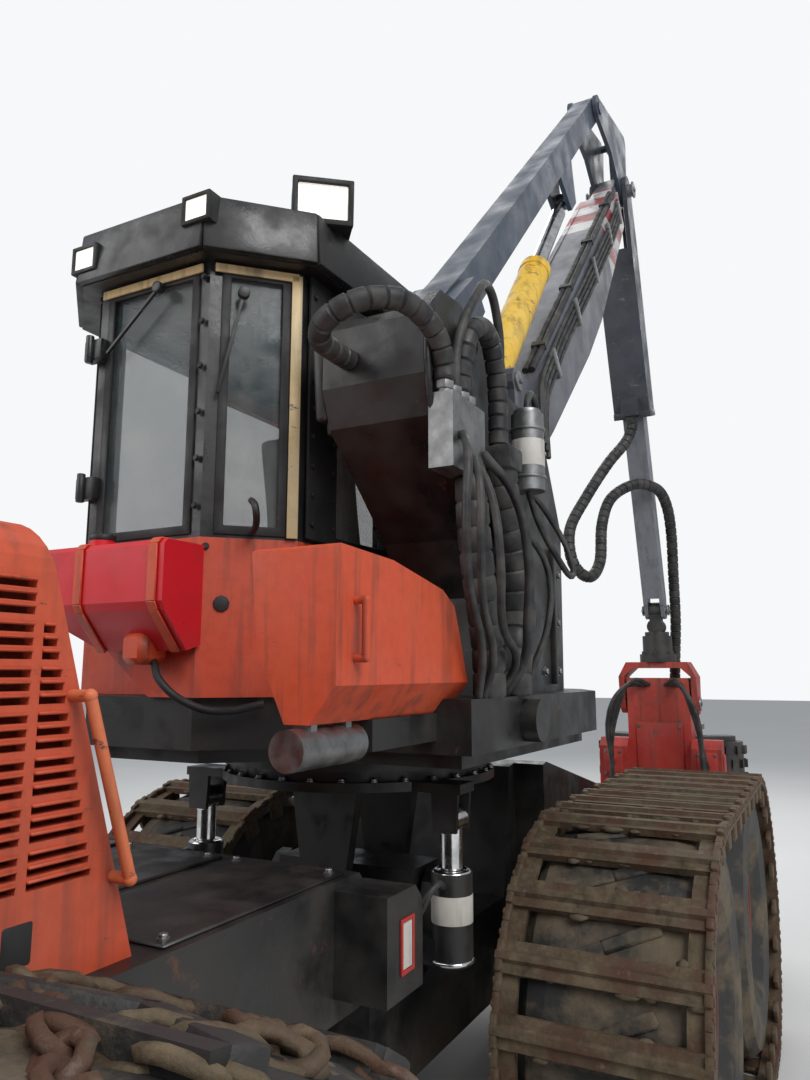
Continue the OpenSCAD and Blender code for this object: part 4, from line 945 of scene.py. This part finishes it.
def add_track_links(side, sign):
    """Guide plates, side links with their bolts and a ridge in seven lengths, drawn once and copied round."""
    parts = []
    for s in (-1, 1):
        parts.append(middle_box((BAND_R - 0.049, s * 0.327, 0), (0.051, 0.013, 0.04), 0.008))
        for x, half in ((0.006, 0.112), (0.02, 0.05)):
            parts.append(middle_box((BAND_R + x, s * 0.336, 0), (0.012, 0.013, half), 0.006))
        for z in (-0.075, -0.03, 0.03, 0.075):
            parts.append(disc_from((BAND_R + 0.006, s * 0.349, z), ACROSS, 0.013, 0.008, 8, 0.002))
    for k in range(7):
        parts.append(middle_box((BAND_R + 0.0234, -0.28 + k * 0.0933, 0), (0.0114, 0.036, 0.014), 0.005, 1))
    joined(f"track_links_{side}", copied(grouped(parts), shoe_places(sign)), "front_frame", "track_steel")


def add_front_lugs(side, sign):
    """Tread lugs of the two tyres inside the band, seen between its bars."""
    lug = box_from((FRONT_TYRE_R - 0.02, -0.012, -0.024), (FRONT_TYRE_R + 0.012, 0.2, 0.024), 0.008, 1)
    pair = copied(settle(lug, turned(FRONT_LUG_LEAN, "X")), (turned(180, "X"), Matrix.Identity(4)))
    places = []
    for x in BOGIE_X:
        places += spokes(at(x, sign * FRONT_WHEEL_Y, FRONT_WHEEL_Z), FRONT_LUGS)
    joined(f"front_lugs_{side}", copied(grouped(pair), places), "front_frame", "front_rubber")


for side, sign in (("left", 1), ("right", -1)):
    add_track_links(side, sign)
    add_front_lugs(side, sign)


# Wheels: rim bolts, tread lugs, and the chain and clay over the rear ones
RIM_FACE = 0.0755
REAR_BOLT_RING = 0.235
FRONT_BOLT_RING = 0.225
REAR_LUG_LEAN = 28


def add_rear_wheel(side, sign):
    centre = REAR_WHEEL[side]
    body = f"rear_wheel_{side}"
    face = centre + Vector((0, sign * RIM_FACE, 0))
    bolts(f"rear_bolts_{side}", ring_places(face, (0, sign, 0), REAR_BOLT_RING, 12), 0.017, body)
    # Two lugs that lean together, one mirrored
    lug = box_from((REAR_TYRE_R - 0.03, -0.015, -0.022), (REAR_TYRE_R + 0.02, 0.25, 0.022), 0.008)
    pair = copied(settle(lug, turned(REAR_LUG_LEAN, "X")), (Matrix.Scale(-1, 4, ACROSS), Matrix.Identity(4)))
    outwards(pair[0])
    joined(f"rear_lugs_{side}", copied(grouped(pair), spokes(centre, REAR_LUGS)), body, "rear_rubber")


# Tyre chain: distance from the tyre's middle plane, and the radius at which the links lie there
CHAIN_LINE = [(0.0, 0.828), (0.18, 0.827), (0.24, 0.812), (0.272, 0.778), (0.282, 0.73), (0.282, 0.672)]
LINK_PITCH = 0.062
LINK_RADIUS = 0.024
LINK_WIRE = 0.0095
LINK_STRETCH = 1.75
# Steps that a strand is measured in, and how far its links lean in turn
STRAND_STEPS = 60
LINK_ROLL = 32
# Clods of clay on a rear wheel and at each shoe of a band
WHEEL_CLODS = 420
SHOE_CLODS = 9
MUD_SEED = 7


def chain_point(angle, share):
    """A point on the net: angle round the wheel in degrees and share of the line from its middle to the ring."""
    stretches = list(zip(CHAIN_LINE, CHAIN_LINE[1:]))
    run = abs(share) * sum(math.dist(a, b) for a, b in stretches)
    for a, b in stretches:
        length = math.dist(a, b)
        if run <= length or b == CHAIN_LINE[-1]:
            t = min(run / length, 1)
            y, r = a[0] + (b[0] - a[0]) * t, a[1] + (b[1] - a[1]) * t
            break
        run -= length
    a = radians(angle)
    return Vector((r * cos(a), math.copysign(y, share), -r * sin(a)))


def chain_strand(start, end, centre):
    """Places of links in a row between two points of the net, leaning to one side and the other in turn."""
    line = [chain_point(start[0] + (end[0] - start[0]) * k / STRAND_STEPS,
                        start[1] + (end[1] - start[1]) * k / STRAND_STEPS) for k in range(STRAND_STEPS + 1)]
    total = sum((b - a).length for a, b in zip(line, line[1:]))
    links = max(1, round(total / LINK_PITCH))
    places = []
    for k in range(links):
        spot = (k + 0.5) / links * STRAND_STEPS
        i = min(int(spot), STRAND_STEPS - 1)
        middle = line[i].lerp(line[i + 1], spot - i)
        along = (line[i + 1] - line[i]).normalized()
        out = Vector((middle.x, 0, middle.z)).normalized()
        out = (out - along * out.dot(along)).normalized()
        turn = Matrix((along, out.cross(along), out)).transposed().to_4x4()
        places.append(moved(centre + middle) @ turn @ turned(LINK_ROLL if k % 2 else -LINK_ROLL, "X"))
    return places


def mud_clod(seed):
    """A lump of clay: a ball pushed out of shape and flattened."""
    deselect()
    bpy.ops.mesh.primitive_ico_sphere_add(subdivisions=2, radius=1)
    clod = bpy.context.object
    bpy.ops.object.mode_set(mode="EDIT")
    bpy.ops.mesh.select_all(action="SELECT")
    bpy.ops.transform.vertex_random(offset=0.3, seed=seed)
    bpy.ops.mesh.vertices_smooth(factor=0.35)
    bpy.ops.object.mode_set(mode="OBJECT")
    bpy.ops.object.shade_smooth()
    return clod


def add_mud(side, sign):
    """Clay that clings to the rear chain and between the bars of the band."""
    rng = random.Random(MUD_SEED)
    places = []
    for k in range(WHEEL_CLODS):
        spot = chain_point(rng.uniform(0, 360), rng.uniform(-0.84, 0.84))
        out = Vector((spot.x, 0, spot.z)).normalized()
        # Clods near the tyre's sides are smaller
        size = rng.uniform(0.014, 0.03) * (1 if abs(spot.y) < 0.2 else 0.6)
        turn = Matrix.Rotation(rng.uniform(0, pi), 4, "Z")
        flat = Matrix.Diagonal((size * rng.uniform(1, 1.9), size, size * 0.5, 1))
        places.append(facing(REAR_WHEEL[side] + spot - out * 0.012, out) @ turn @ flat)
    joined(f"chain_mud_{side}", copied(mud_clod(3), places), f"rear_wheel_{side}", "clay")
    places = []
    for shoe in shoe_places(sign):
        for k in range(SHOE_CLODS):
            size = rng.uniform(0.012, 0.024)
            spot = (BAND_R + 0.004, rng.uniform(-0.31, 0.31), rng.choice((-1, 1)) * rng.uniform(0.03, 0.06))
            flat = Matrix.Diagonal((size * 0.6, size * rng.uniform(1, 2.2), size, 1))
            places.append(shoe @ moved(spot) @ flat)
    joined(f"track_mud_{side}", copied(mud_clod(5), places), "front_frame", "clay")


def add_chain(side):
    """A net of cross strands, slanting strands and a ring of links down each side of the tyre."""
    places = []
    for a in range(0, 360, 20):
        for s in (-1, 1):
            for start, end in (((a, 0.02 * s), (a, s)), ((a, 0.03 * s), (a + 10, 0.52 * s)),
                               ((a + 20, 0.03 * s), (a + 10, 0.52 * s)), ((a, s), (a + 20, s))):
                places += chain_strand(start, end, REAR_WHEEL[side])
    deselect()
    bpy.ops.mesh.primitive_torus_add(major_radius=LINK_RADIUS, minor_radius=LINK_WIRE, major_segments=8,
                                     minor_segments=5)
    link = bpy.context.object
    link.scale = (LINK_STRETCH, 1, 1)
    settle(link)
    bpy.ops.object.shade_smooth()
    joined(f"chain_{side}", copied(link, places), f"rear_wheel_{side}", "chain_steel")


for side, sign in (("left", 1), ("right", -1)):
    add_rear_wheel(side, sign)
    add_chain(side)
    add_mud(side, sign)
    for n, x in enumerate(BOGIE_X):
        hub = at(x, sign * (FRONT_WHEEL_Y + RIM_FACE), FRONT_WHEEL_Z)
        places = ring_places(hub, (0, sign, 0), FRONT_BOLT_RING, 10)
        bolts(f"front_bolts_{side}_{n}", places, 0.016, "front_frame")

# Turntable bolts
bolts("ring_bolts", ring_places(at(0, 0, 1.624), UP, 0.53, 30), 0.011, "tilt_table")


# Pins: a cap and its keeper bolt on both ends
CAP_THICK = 0.012
KEEPER_THICK = 0.01
KEEPER_OUT = 0.016
KEEPER_SHARE = 0.35


def pin_caps(name, centre, half, radius, body):
    parts = []
    for s in (-1, 1):
        cap, keeper = (centre + Vector((0, s * (half + out), 0)) for out in (CAP_THICK / 2, KEEPER_OUT))
        parts.append(disc_from(cap, ACROSS, radius, CAP_THICK, 28))
        parts.append(disc_from(keeper, ACROSS, radius * KEEPER_SHARE, KEEPER_THICK, 6, 0.002))
    joined(name, parts, body, "pin_steel")


for name, centre, half, radius, body in (
        ("boom_foot_caps", BOOM_FOOT, 0.2, 0.062, "slew_platform"),
        ("link_foot_caps", LINK_FOOT, 0.2, 0.058, "slew_platform"),
        ("boom_tip_caps", BOOM_TIP, 0.158, 0.058, "main_boom"),
        ("hang_caps", HANG, 0.088, 0.042, "tip_pin"),
        ("lift_foot_caps", LIFT_FOOT, 0.13, 0.04, "main_boom"),
        ("tilt_caps", TILT, 0.286, 0.052, "head_rotor")):
    pin_caps(name, centre, half, radius, body)


# Hood: lips over the louvres, and latches
LOUVRE_Z = 1.645
LOUVRE_ROWS = 21
SHORT_ROWS = 18
LOUVRE_PITCH = 0.0225
# Further gap after every third row, and how far the slanting edge moves back for each metre up
GROUP_GAP = 0.0075
EDGE_SLANT = 0.255


def add_hood_details():
    lips = []
    for row in range(LOUVRE_ROWS):
        z = LOUVRE_Z + row * LOUVRE_PITCH + (row // 3) * GROUP_GAP
        columns = [(-2.4, -2.01), (-2.82, -2.43)]
        if row < SHORT_ROWS:
            # The front column ends along the hood's slanting edge
            columns.append((-1.99, -1.86 - (z - LOUVRE_Z) * EDGE_SLANT))
        for x0, x1 in columns:
            lips.append(box_from(at(x0, HOOD_HALF - 0.004, z + 0.012), at(x1, HOOD_HALF + 0.006, z + 0.018), 0.002, 1))
    lips = copied(grouped(lips), [Matrix.Identity(4), turned(180, "Z") @ Matrix.Scale(-1, 4, (1, 0, 0))])
    outwards(lips[-1])
    joined("louvre_lips", lips, "rear_frame", "hood_orange")
    parts = []
    for x in (-2.0, -3.3):
        for s in (-1, 1):
            y = s * HOOD_HALF
            parts.append(box_from(at(x - 0.03, y - 0.002, 1.53), at(x + 0.03, y + 0.02, 1.60), 0.006))
    joined("hood_latches", parts, "rear_frame", "seal_black")


add_hood_details()


# Rear tank: straps over it, the block below, its black cable and its cap
def add_tank_details():
    straps = []
    for y in (0.02, 0.33):
        line = [(-0.998, 2.394), (-1.16, 2.394), (-1.177, 2.376), (-1.177, 2.204), (-1.163, 2.176), (-1.064, 2.058)]
        for (x0, z0), (x1, z1) in zip(line, line[1:]):
            length = math.dist((x0, z0), (x1, z1))
            piece = box_from((0, -0.018, -0.003), (length, 0.018, 0.003), 0.002, 1)
            tilt = Matrix.Rotation(-math.atan2(z1 - z0, x1 - x0), 4, "Y")
            straps.append(settle(piece, moved(at(x0, y, z0)) @ tilt))
    straps.append(box_from(at(-1.12, 0.1, 2.02), at(-1.0, 0.2, 2.12), 0.02, 1))
    joined("tank_straps", straps, "slew_platform", "cover_orange")
    # The cable, the crank that stands out at the tub's right corner, and the plug beside the tank
    dark = [tube_at([(-1.06, 0.11, 2.03), (-1.08, 0.06, 1.97), (-1.03, -0.02, 1.9), (-0.95, -0.08, 1.88),
                     (-0.86, -0.16, 1.9)], 0.012),
            tube_at([(-0.9, -0.13, 2.44), (-0.96, -0.19, 2.46), (-0.98, -0.2, 2.5), (-0.95, -0.16, 2.53)], 0.011),
            disc_from(at(-0.951, -0.055, 2.21), (-0.7, -0.7, 0), 0.026, 0.008, 9)]
    joined("tank_cable", dark, "slew_platform", "seal_black")
    # The cap has eight finger ribs
    x, y = -1.09, 0.33
    cap = [disc_from(at(x, y, 2.425), UP, 0.043, 0.02, 20, 0.005)]
    for k in range(8):
        u, v = x + 0.036 * cos(pi * k / 4), y + 0.036 * sin(pi * k / 4)
        cap.append(box_from(at(u - 0.006, v - 0.006, 2.425), at(u + 0.006, v + 0.006, 2.438), 0.002, 1))
    joined("tank_cap", cap, "slew_platform", "cab_black")


add_tank_details()


# Pillar: ribbed guard on its rear left side, stiffeners, a rounded edge and bolts on its right
PILLAR_SIDE = -0.729


def add_pillar_details():
    parts = []
    for k in range(5):
        rib = box_from((-0.028, 0, 0), (0.028, 0.042, 0.30), 0.014, 3)
        parts.append(settle(rib, moved(at(-0.825 + k * 0.066, -0.369, 2.79 - 0.03 * k)) @ turned(-6, "Y")))
    for x, top in ((0.3, 2.5), (-0.05, 2.6)):
        parts.append(box_from(at(x - 0.015, -0.752, 1.95), at(x + 0.015, PILLAR_SIDE, top), 0.004))
    edge = [(-0.36, 1.98), (-0.36, 2.24), (-0.46, 2.42), (-0.82, 2.74), (-0.865, 2.9), (-0.865, 3.05)]
    parts.append(tube_at([(x, -0.736, z) for x, z in edge], 0.012))
    joined("pillar_ribs", parts, "slew_platform", "pillar_black")
    spots = ((0.38, 2.0), (0.38, 2.2), (0.4, 2.4), (0.2, 2.0), (0.0, 2.0), (-0.2, 2.0))
    places = [facing(at(x, PILLAR_SIDE, z), (0, -1, 0)) for x, z in spots]
    bolts("pillar_bolts", places, 0.014, "slew_platform")


add_pillar_details()


# Boom and jib: hose runs with clamps, weld beads and the collar at the jib's mouth
def add_crane_details():
    boom_lean, jib_lean = (Matrix.Rotation(-angle, 4, "Y") for angle in (BOOM_ANGLE, JIB_ANGLE))
    tubes, clamps = [], []
    for k in range(4):
        y, v = -0.142, 0.095 - 0.034 * k
        line = [(0.12, y - 0.06, v - 0.1), (0.35, y - 0.03, v), (0.7, y, v), (1.9, y, v - 0.02), (2.9, y, v - 0.02),
                (3.1, y + 0.01, v - 0.01)]
        tubes.append(tube_from([along_boom(*p) for p in line], 0.0105))
    for u in (0.75, 1.35, 1.95, 2.55, 3.0):
        clamp = box_from((-0.02, -0.156, -0.035), (0.02, -0.129, 0.112), 0.005)
        clamps.append(settle(clamp, moved(along_boom(u, 0, -0.01)) @ boom_lean))
    joined("boom_side_hoses", tubes, "main_boom", "hose_black")
    joined("boom_clamps", clamps, "main_boom", "pin_steel")
    welds = []
    for y in (-0.1, 0.1):
        for u0, v0, u1, v1 in ((0.62, 0.126, 2.98, 0.126), (0.56, -0.2, 1.45, -0.263)):
            welds.append(tube_from([along_boom(u0, y, v0), along_boom(u1, y, v1)], 0.005, 6))
    joined("boom_welds", welds, "main_boom", "boom_grey")
    parts = []
    for y in (-0.045, 0.0, 0.045):
        parts.append(tube_from([along_jib(u, y, v) for u, v in ((0.95, 0.112), (1.2, 0.112), (1.56, 0.108))], 0.013))
    for u in (1.0, 1.28, 1.54):
        strap = box_from((-0.014, -0.068, 0.1), (0.014, 0.068, 0.13), 0.005)
        parts.append(settle(strap, moved(along_jib(u, 0, 0)) @ jib_lean))
    joined("jib_hoses", parts, "jib", "hose_black")
    collar = settle(picture_frame(0.27, 0.21, 0.018, 0.05), turned(-90, "Z"))
    settle(collar, moved(along_jib(1.585, 0, 0)) @ jib_lean)
    joined("jib_collar", [collar], "jib", "jib_grey")


add_crane_details()


# Frames: slats of the side box, deck plates, the blank plate, and the levelling cylinders' fittings
DECK_PLATES_Y = (-0.4, 0.0, 0.4)
LEVEL_X = -0.29
LEVEL_Y = 0.54


def add_frame_details():
    parts = []
    for k in range(9):
        z = 1.235 + k * 0.02
        parts.append(box_from(at(-0.944, -0.735, z), at(-0.934, -0.615, z + 0.011), 0.002, 1))
    for y in DECK_PLATES_Y:
        parts.append(box_from(at(-1.7, y - 0.18, DECK_Z - 0.001), at(-1.05, y + 0.18, DECK_Z + 0.008), 0.004, 1))
    joined("deck_plates", parts, "rear_frame", "chassis_black")
    places = [facing(at(x, y + s, DECK_Z + 0.008), UP) for y in DECK_PLATES_Y for x in (-1.67, -1.08)
              for s in (-0.15, 0.15)]
    bolts("deck_bolts", places, 0.01, "rear_frame")
    border = settle(picture_frame(0.07, 0.13, 0.009, 0.006), moved(at(-1.03, -0.756, 1.33)))
    joined("plate_border", [border], "rear_frame", "sign_red")
    plate = box_from(at(-1.055, -0.7535, 1.275), at(-1.005, -0.7495, 1.385), 0.002, 1)
    joined("blank_plate", [plate], "rear_frame", "white_label")
    # Levelling cylinders: glands, labels and feed hoses
    rings, labels, feeds = [], [], []
    for s in (-1, 1):
        foot = at(LEVEL_X, s * LEVEL_Y, 0)
        for z, radius, thick in ((1.325, 0.056, 0.013), (1.05, 0.068, 0.008)):
            rings.append(ring_from(foot + Vector((0, 0, z)), UP, radius, thick, 28, 8))
        labels.append(disc_from(foot + Vector((0, 0, 1.215)), UP, 0.0712, 0.09, 28, 0.001))
        line = ((-0.06, 0, 1.29), (-0.13, 0, 1.31), (-0.16, -0.05 * s, 1.22), (-0.1, -0.2 * s, 1.12))
        feeds.append(tube_from([foot + Vector(p) for p in line], 0.012))
    joined("level_glands", rings, "level_cross", "rod_chrome")
    joined("level_labels", labels, "level_cross", "white_label")
    joined("level_hoses", feeds, "level_cross", "hose_black")


add_frame_details()


# Head: hose bundles, cover plates with their bolts, and fittings for the tip hose
def add_head_details():
    x, y = HANG.x, CRANE_Y
    hoses = []
    for s in (-1, 1):
        for k in range(3):
            spread = 0.05 * k
            line = ((0.09, 0.06 + 0.03 * k, 1.9), (0.2 + spread, 0.16 + 0.03 * k, 1.93 - 0.03 * k),
                    (0.26 + spread, 0.27 + 0.02 * k, 1.7), (0.24, 0.33, 1.4 - 0.08 * k),
                    (0.158, 0.34 + 0.02 * k, 1.3 - 0.1 * k))
            hoses.append(tube_from([(x - back, y + s * out, z) for back, out, z in line], 0.016))
    joined("head_hoses", hoses, "head", "hose_black")
    covers = []
    for s in (-1, 1):
        pad, edge = y + s * 0.34, y + s * 0.446
        for z0, z1 in ((0.96, 1.16), (1.22, 1.42)):
            covers.append(box_from((x - 0.17, pad - 0.07, z0), (x - 0.155, pad + 0.07, z1), 0.006))
        covers.append(box_from((x - 0.12, edge - 0.008, 0.96), (x - 0.03, edge + 0.008, 1.40), 0.007))
    for z0, z1 in ((0.8, 1.18), (1.24, 1.62)):
        covers.append(box_from((x - 0.102, y - 0.17, z0), (x - 0.086, y + 0.17, z1), 0.006))
    joined("head_covers", covers, "head", "head_red")
    spots = []
    for s in (-1, 1):
        spots += [(x - 0.17, y + s * 0.34 + t, z) for z in (0.98, 1.14, 1.24, 1.40) for t in (-0.055, 0.055)]
        spots += [(x - 0.102, y + s * 0.15, z) for z in (0.83, 1.15, 1.27, 1.59)]
    bolts("head_bolts", [facing(spot, (-1, 0, 0)) for spot in spots], 0.009, "head")
    fittings = [disc_from((x + 0.163, y - 0.09, 1.815), UP, 0.052, 0.03, 24, 0.006)]
    for k in range(4):
        fittings.append(disc_from((x + 0.218, y - 0.13 + 0.027 * k, 1.775), (1, 0, 0), 0.011, 0.02, 6, 0.002))
    joined("head_fittings", fittings, "head", "valve_metal")


add_head_details()


# Floor, lights and the camera's background
LAMP_AIM = Vector((0, 0, 2))
# Name, place, width in metres and power in watts
LIGHTS = (("key_light", (-6, -9, 11), 7, 1150), ("fill_light", (-8, 7, 8), 9, 520), ("back_light", (9, 2, 10), 8, 650))
FLOOR_WIDTH = 120


def add_stage():
    deselect()
    bpy.ops.mesh.primitive_plane_add(size=FLOOR_WIDTH, location=(0, 0, 0))
    floor = bpy.context.object
    floor.name = "studio_floor"
    f = Finish("studio_floor", 0.9)
    f.colour(f.blend(f.noise(0.6, 2), (0.66, 0.66, 0.65), (0.72, 0.72, 0.71)))
    floor.data.materials.append(f.material)
    for name, place, size, power in LIGHTS:
        data = bpy.data.lights.new(name, "AREA")
        data.energy = power
        data.size = size
        lamp = linked(bpy.data.objects.new(name, data))
        lamp.location = place
        lamp.rotation_euler = (LAMP_AIM - Vector(place)).to_track_quat("-Z", "Y").to_euler()
    world = bpy.data.worlds.new("studio_air")
    world.use_nodes = True
    bpy.context.scene.world = world
    nodes, links = world.node_tree.nodes, world.node_tree.links
    light = nodes["Background"]
    light.inputs["Color"].default_value = (0.86, 0.9, 0.95, 1)
    light.inputs["Strength"].default_value = 0.5
    backdrop = nodes.new("ShaderNodeBackground")
    backdrop.inputs["Color"].default_value = (0.93, 0.94, 0.95, 1)
    path = nodes.new("ShaderNodeLightPath")
    mix = nodes.new("ShaderNodeMixShader")
    links.new(path.outputs["Is Camera Ray"], mix.inputs["Fac"])
    links.new(light.outputs[0], mix.inputs[1])
    links.new(backdrop.outputs[0], mix.inputs[2])
    links.new(mix.outputs[0], nodes["World Output"].inputs["Surface"])
    bpy.context.scene.view_settings.view_transform = "Standard"


add_stage()
deselect()
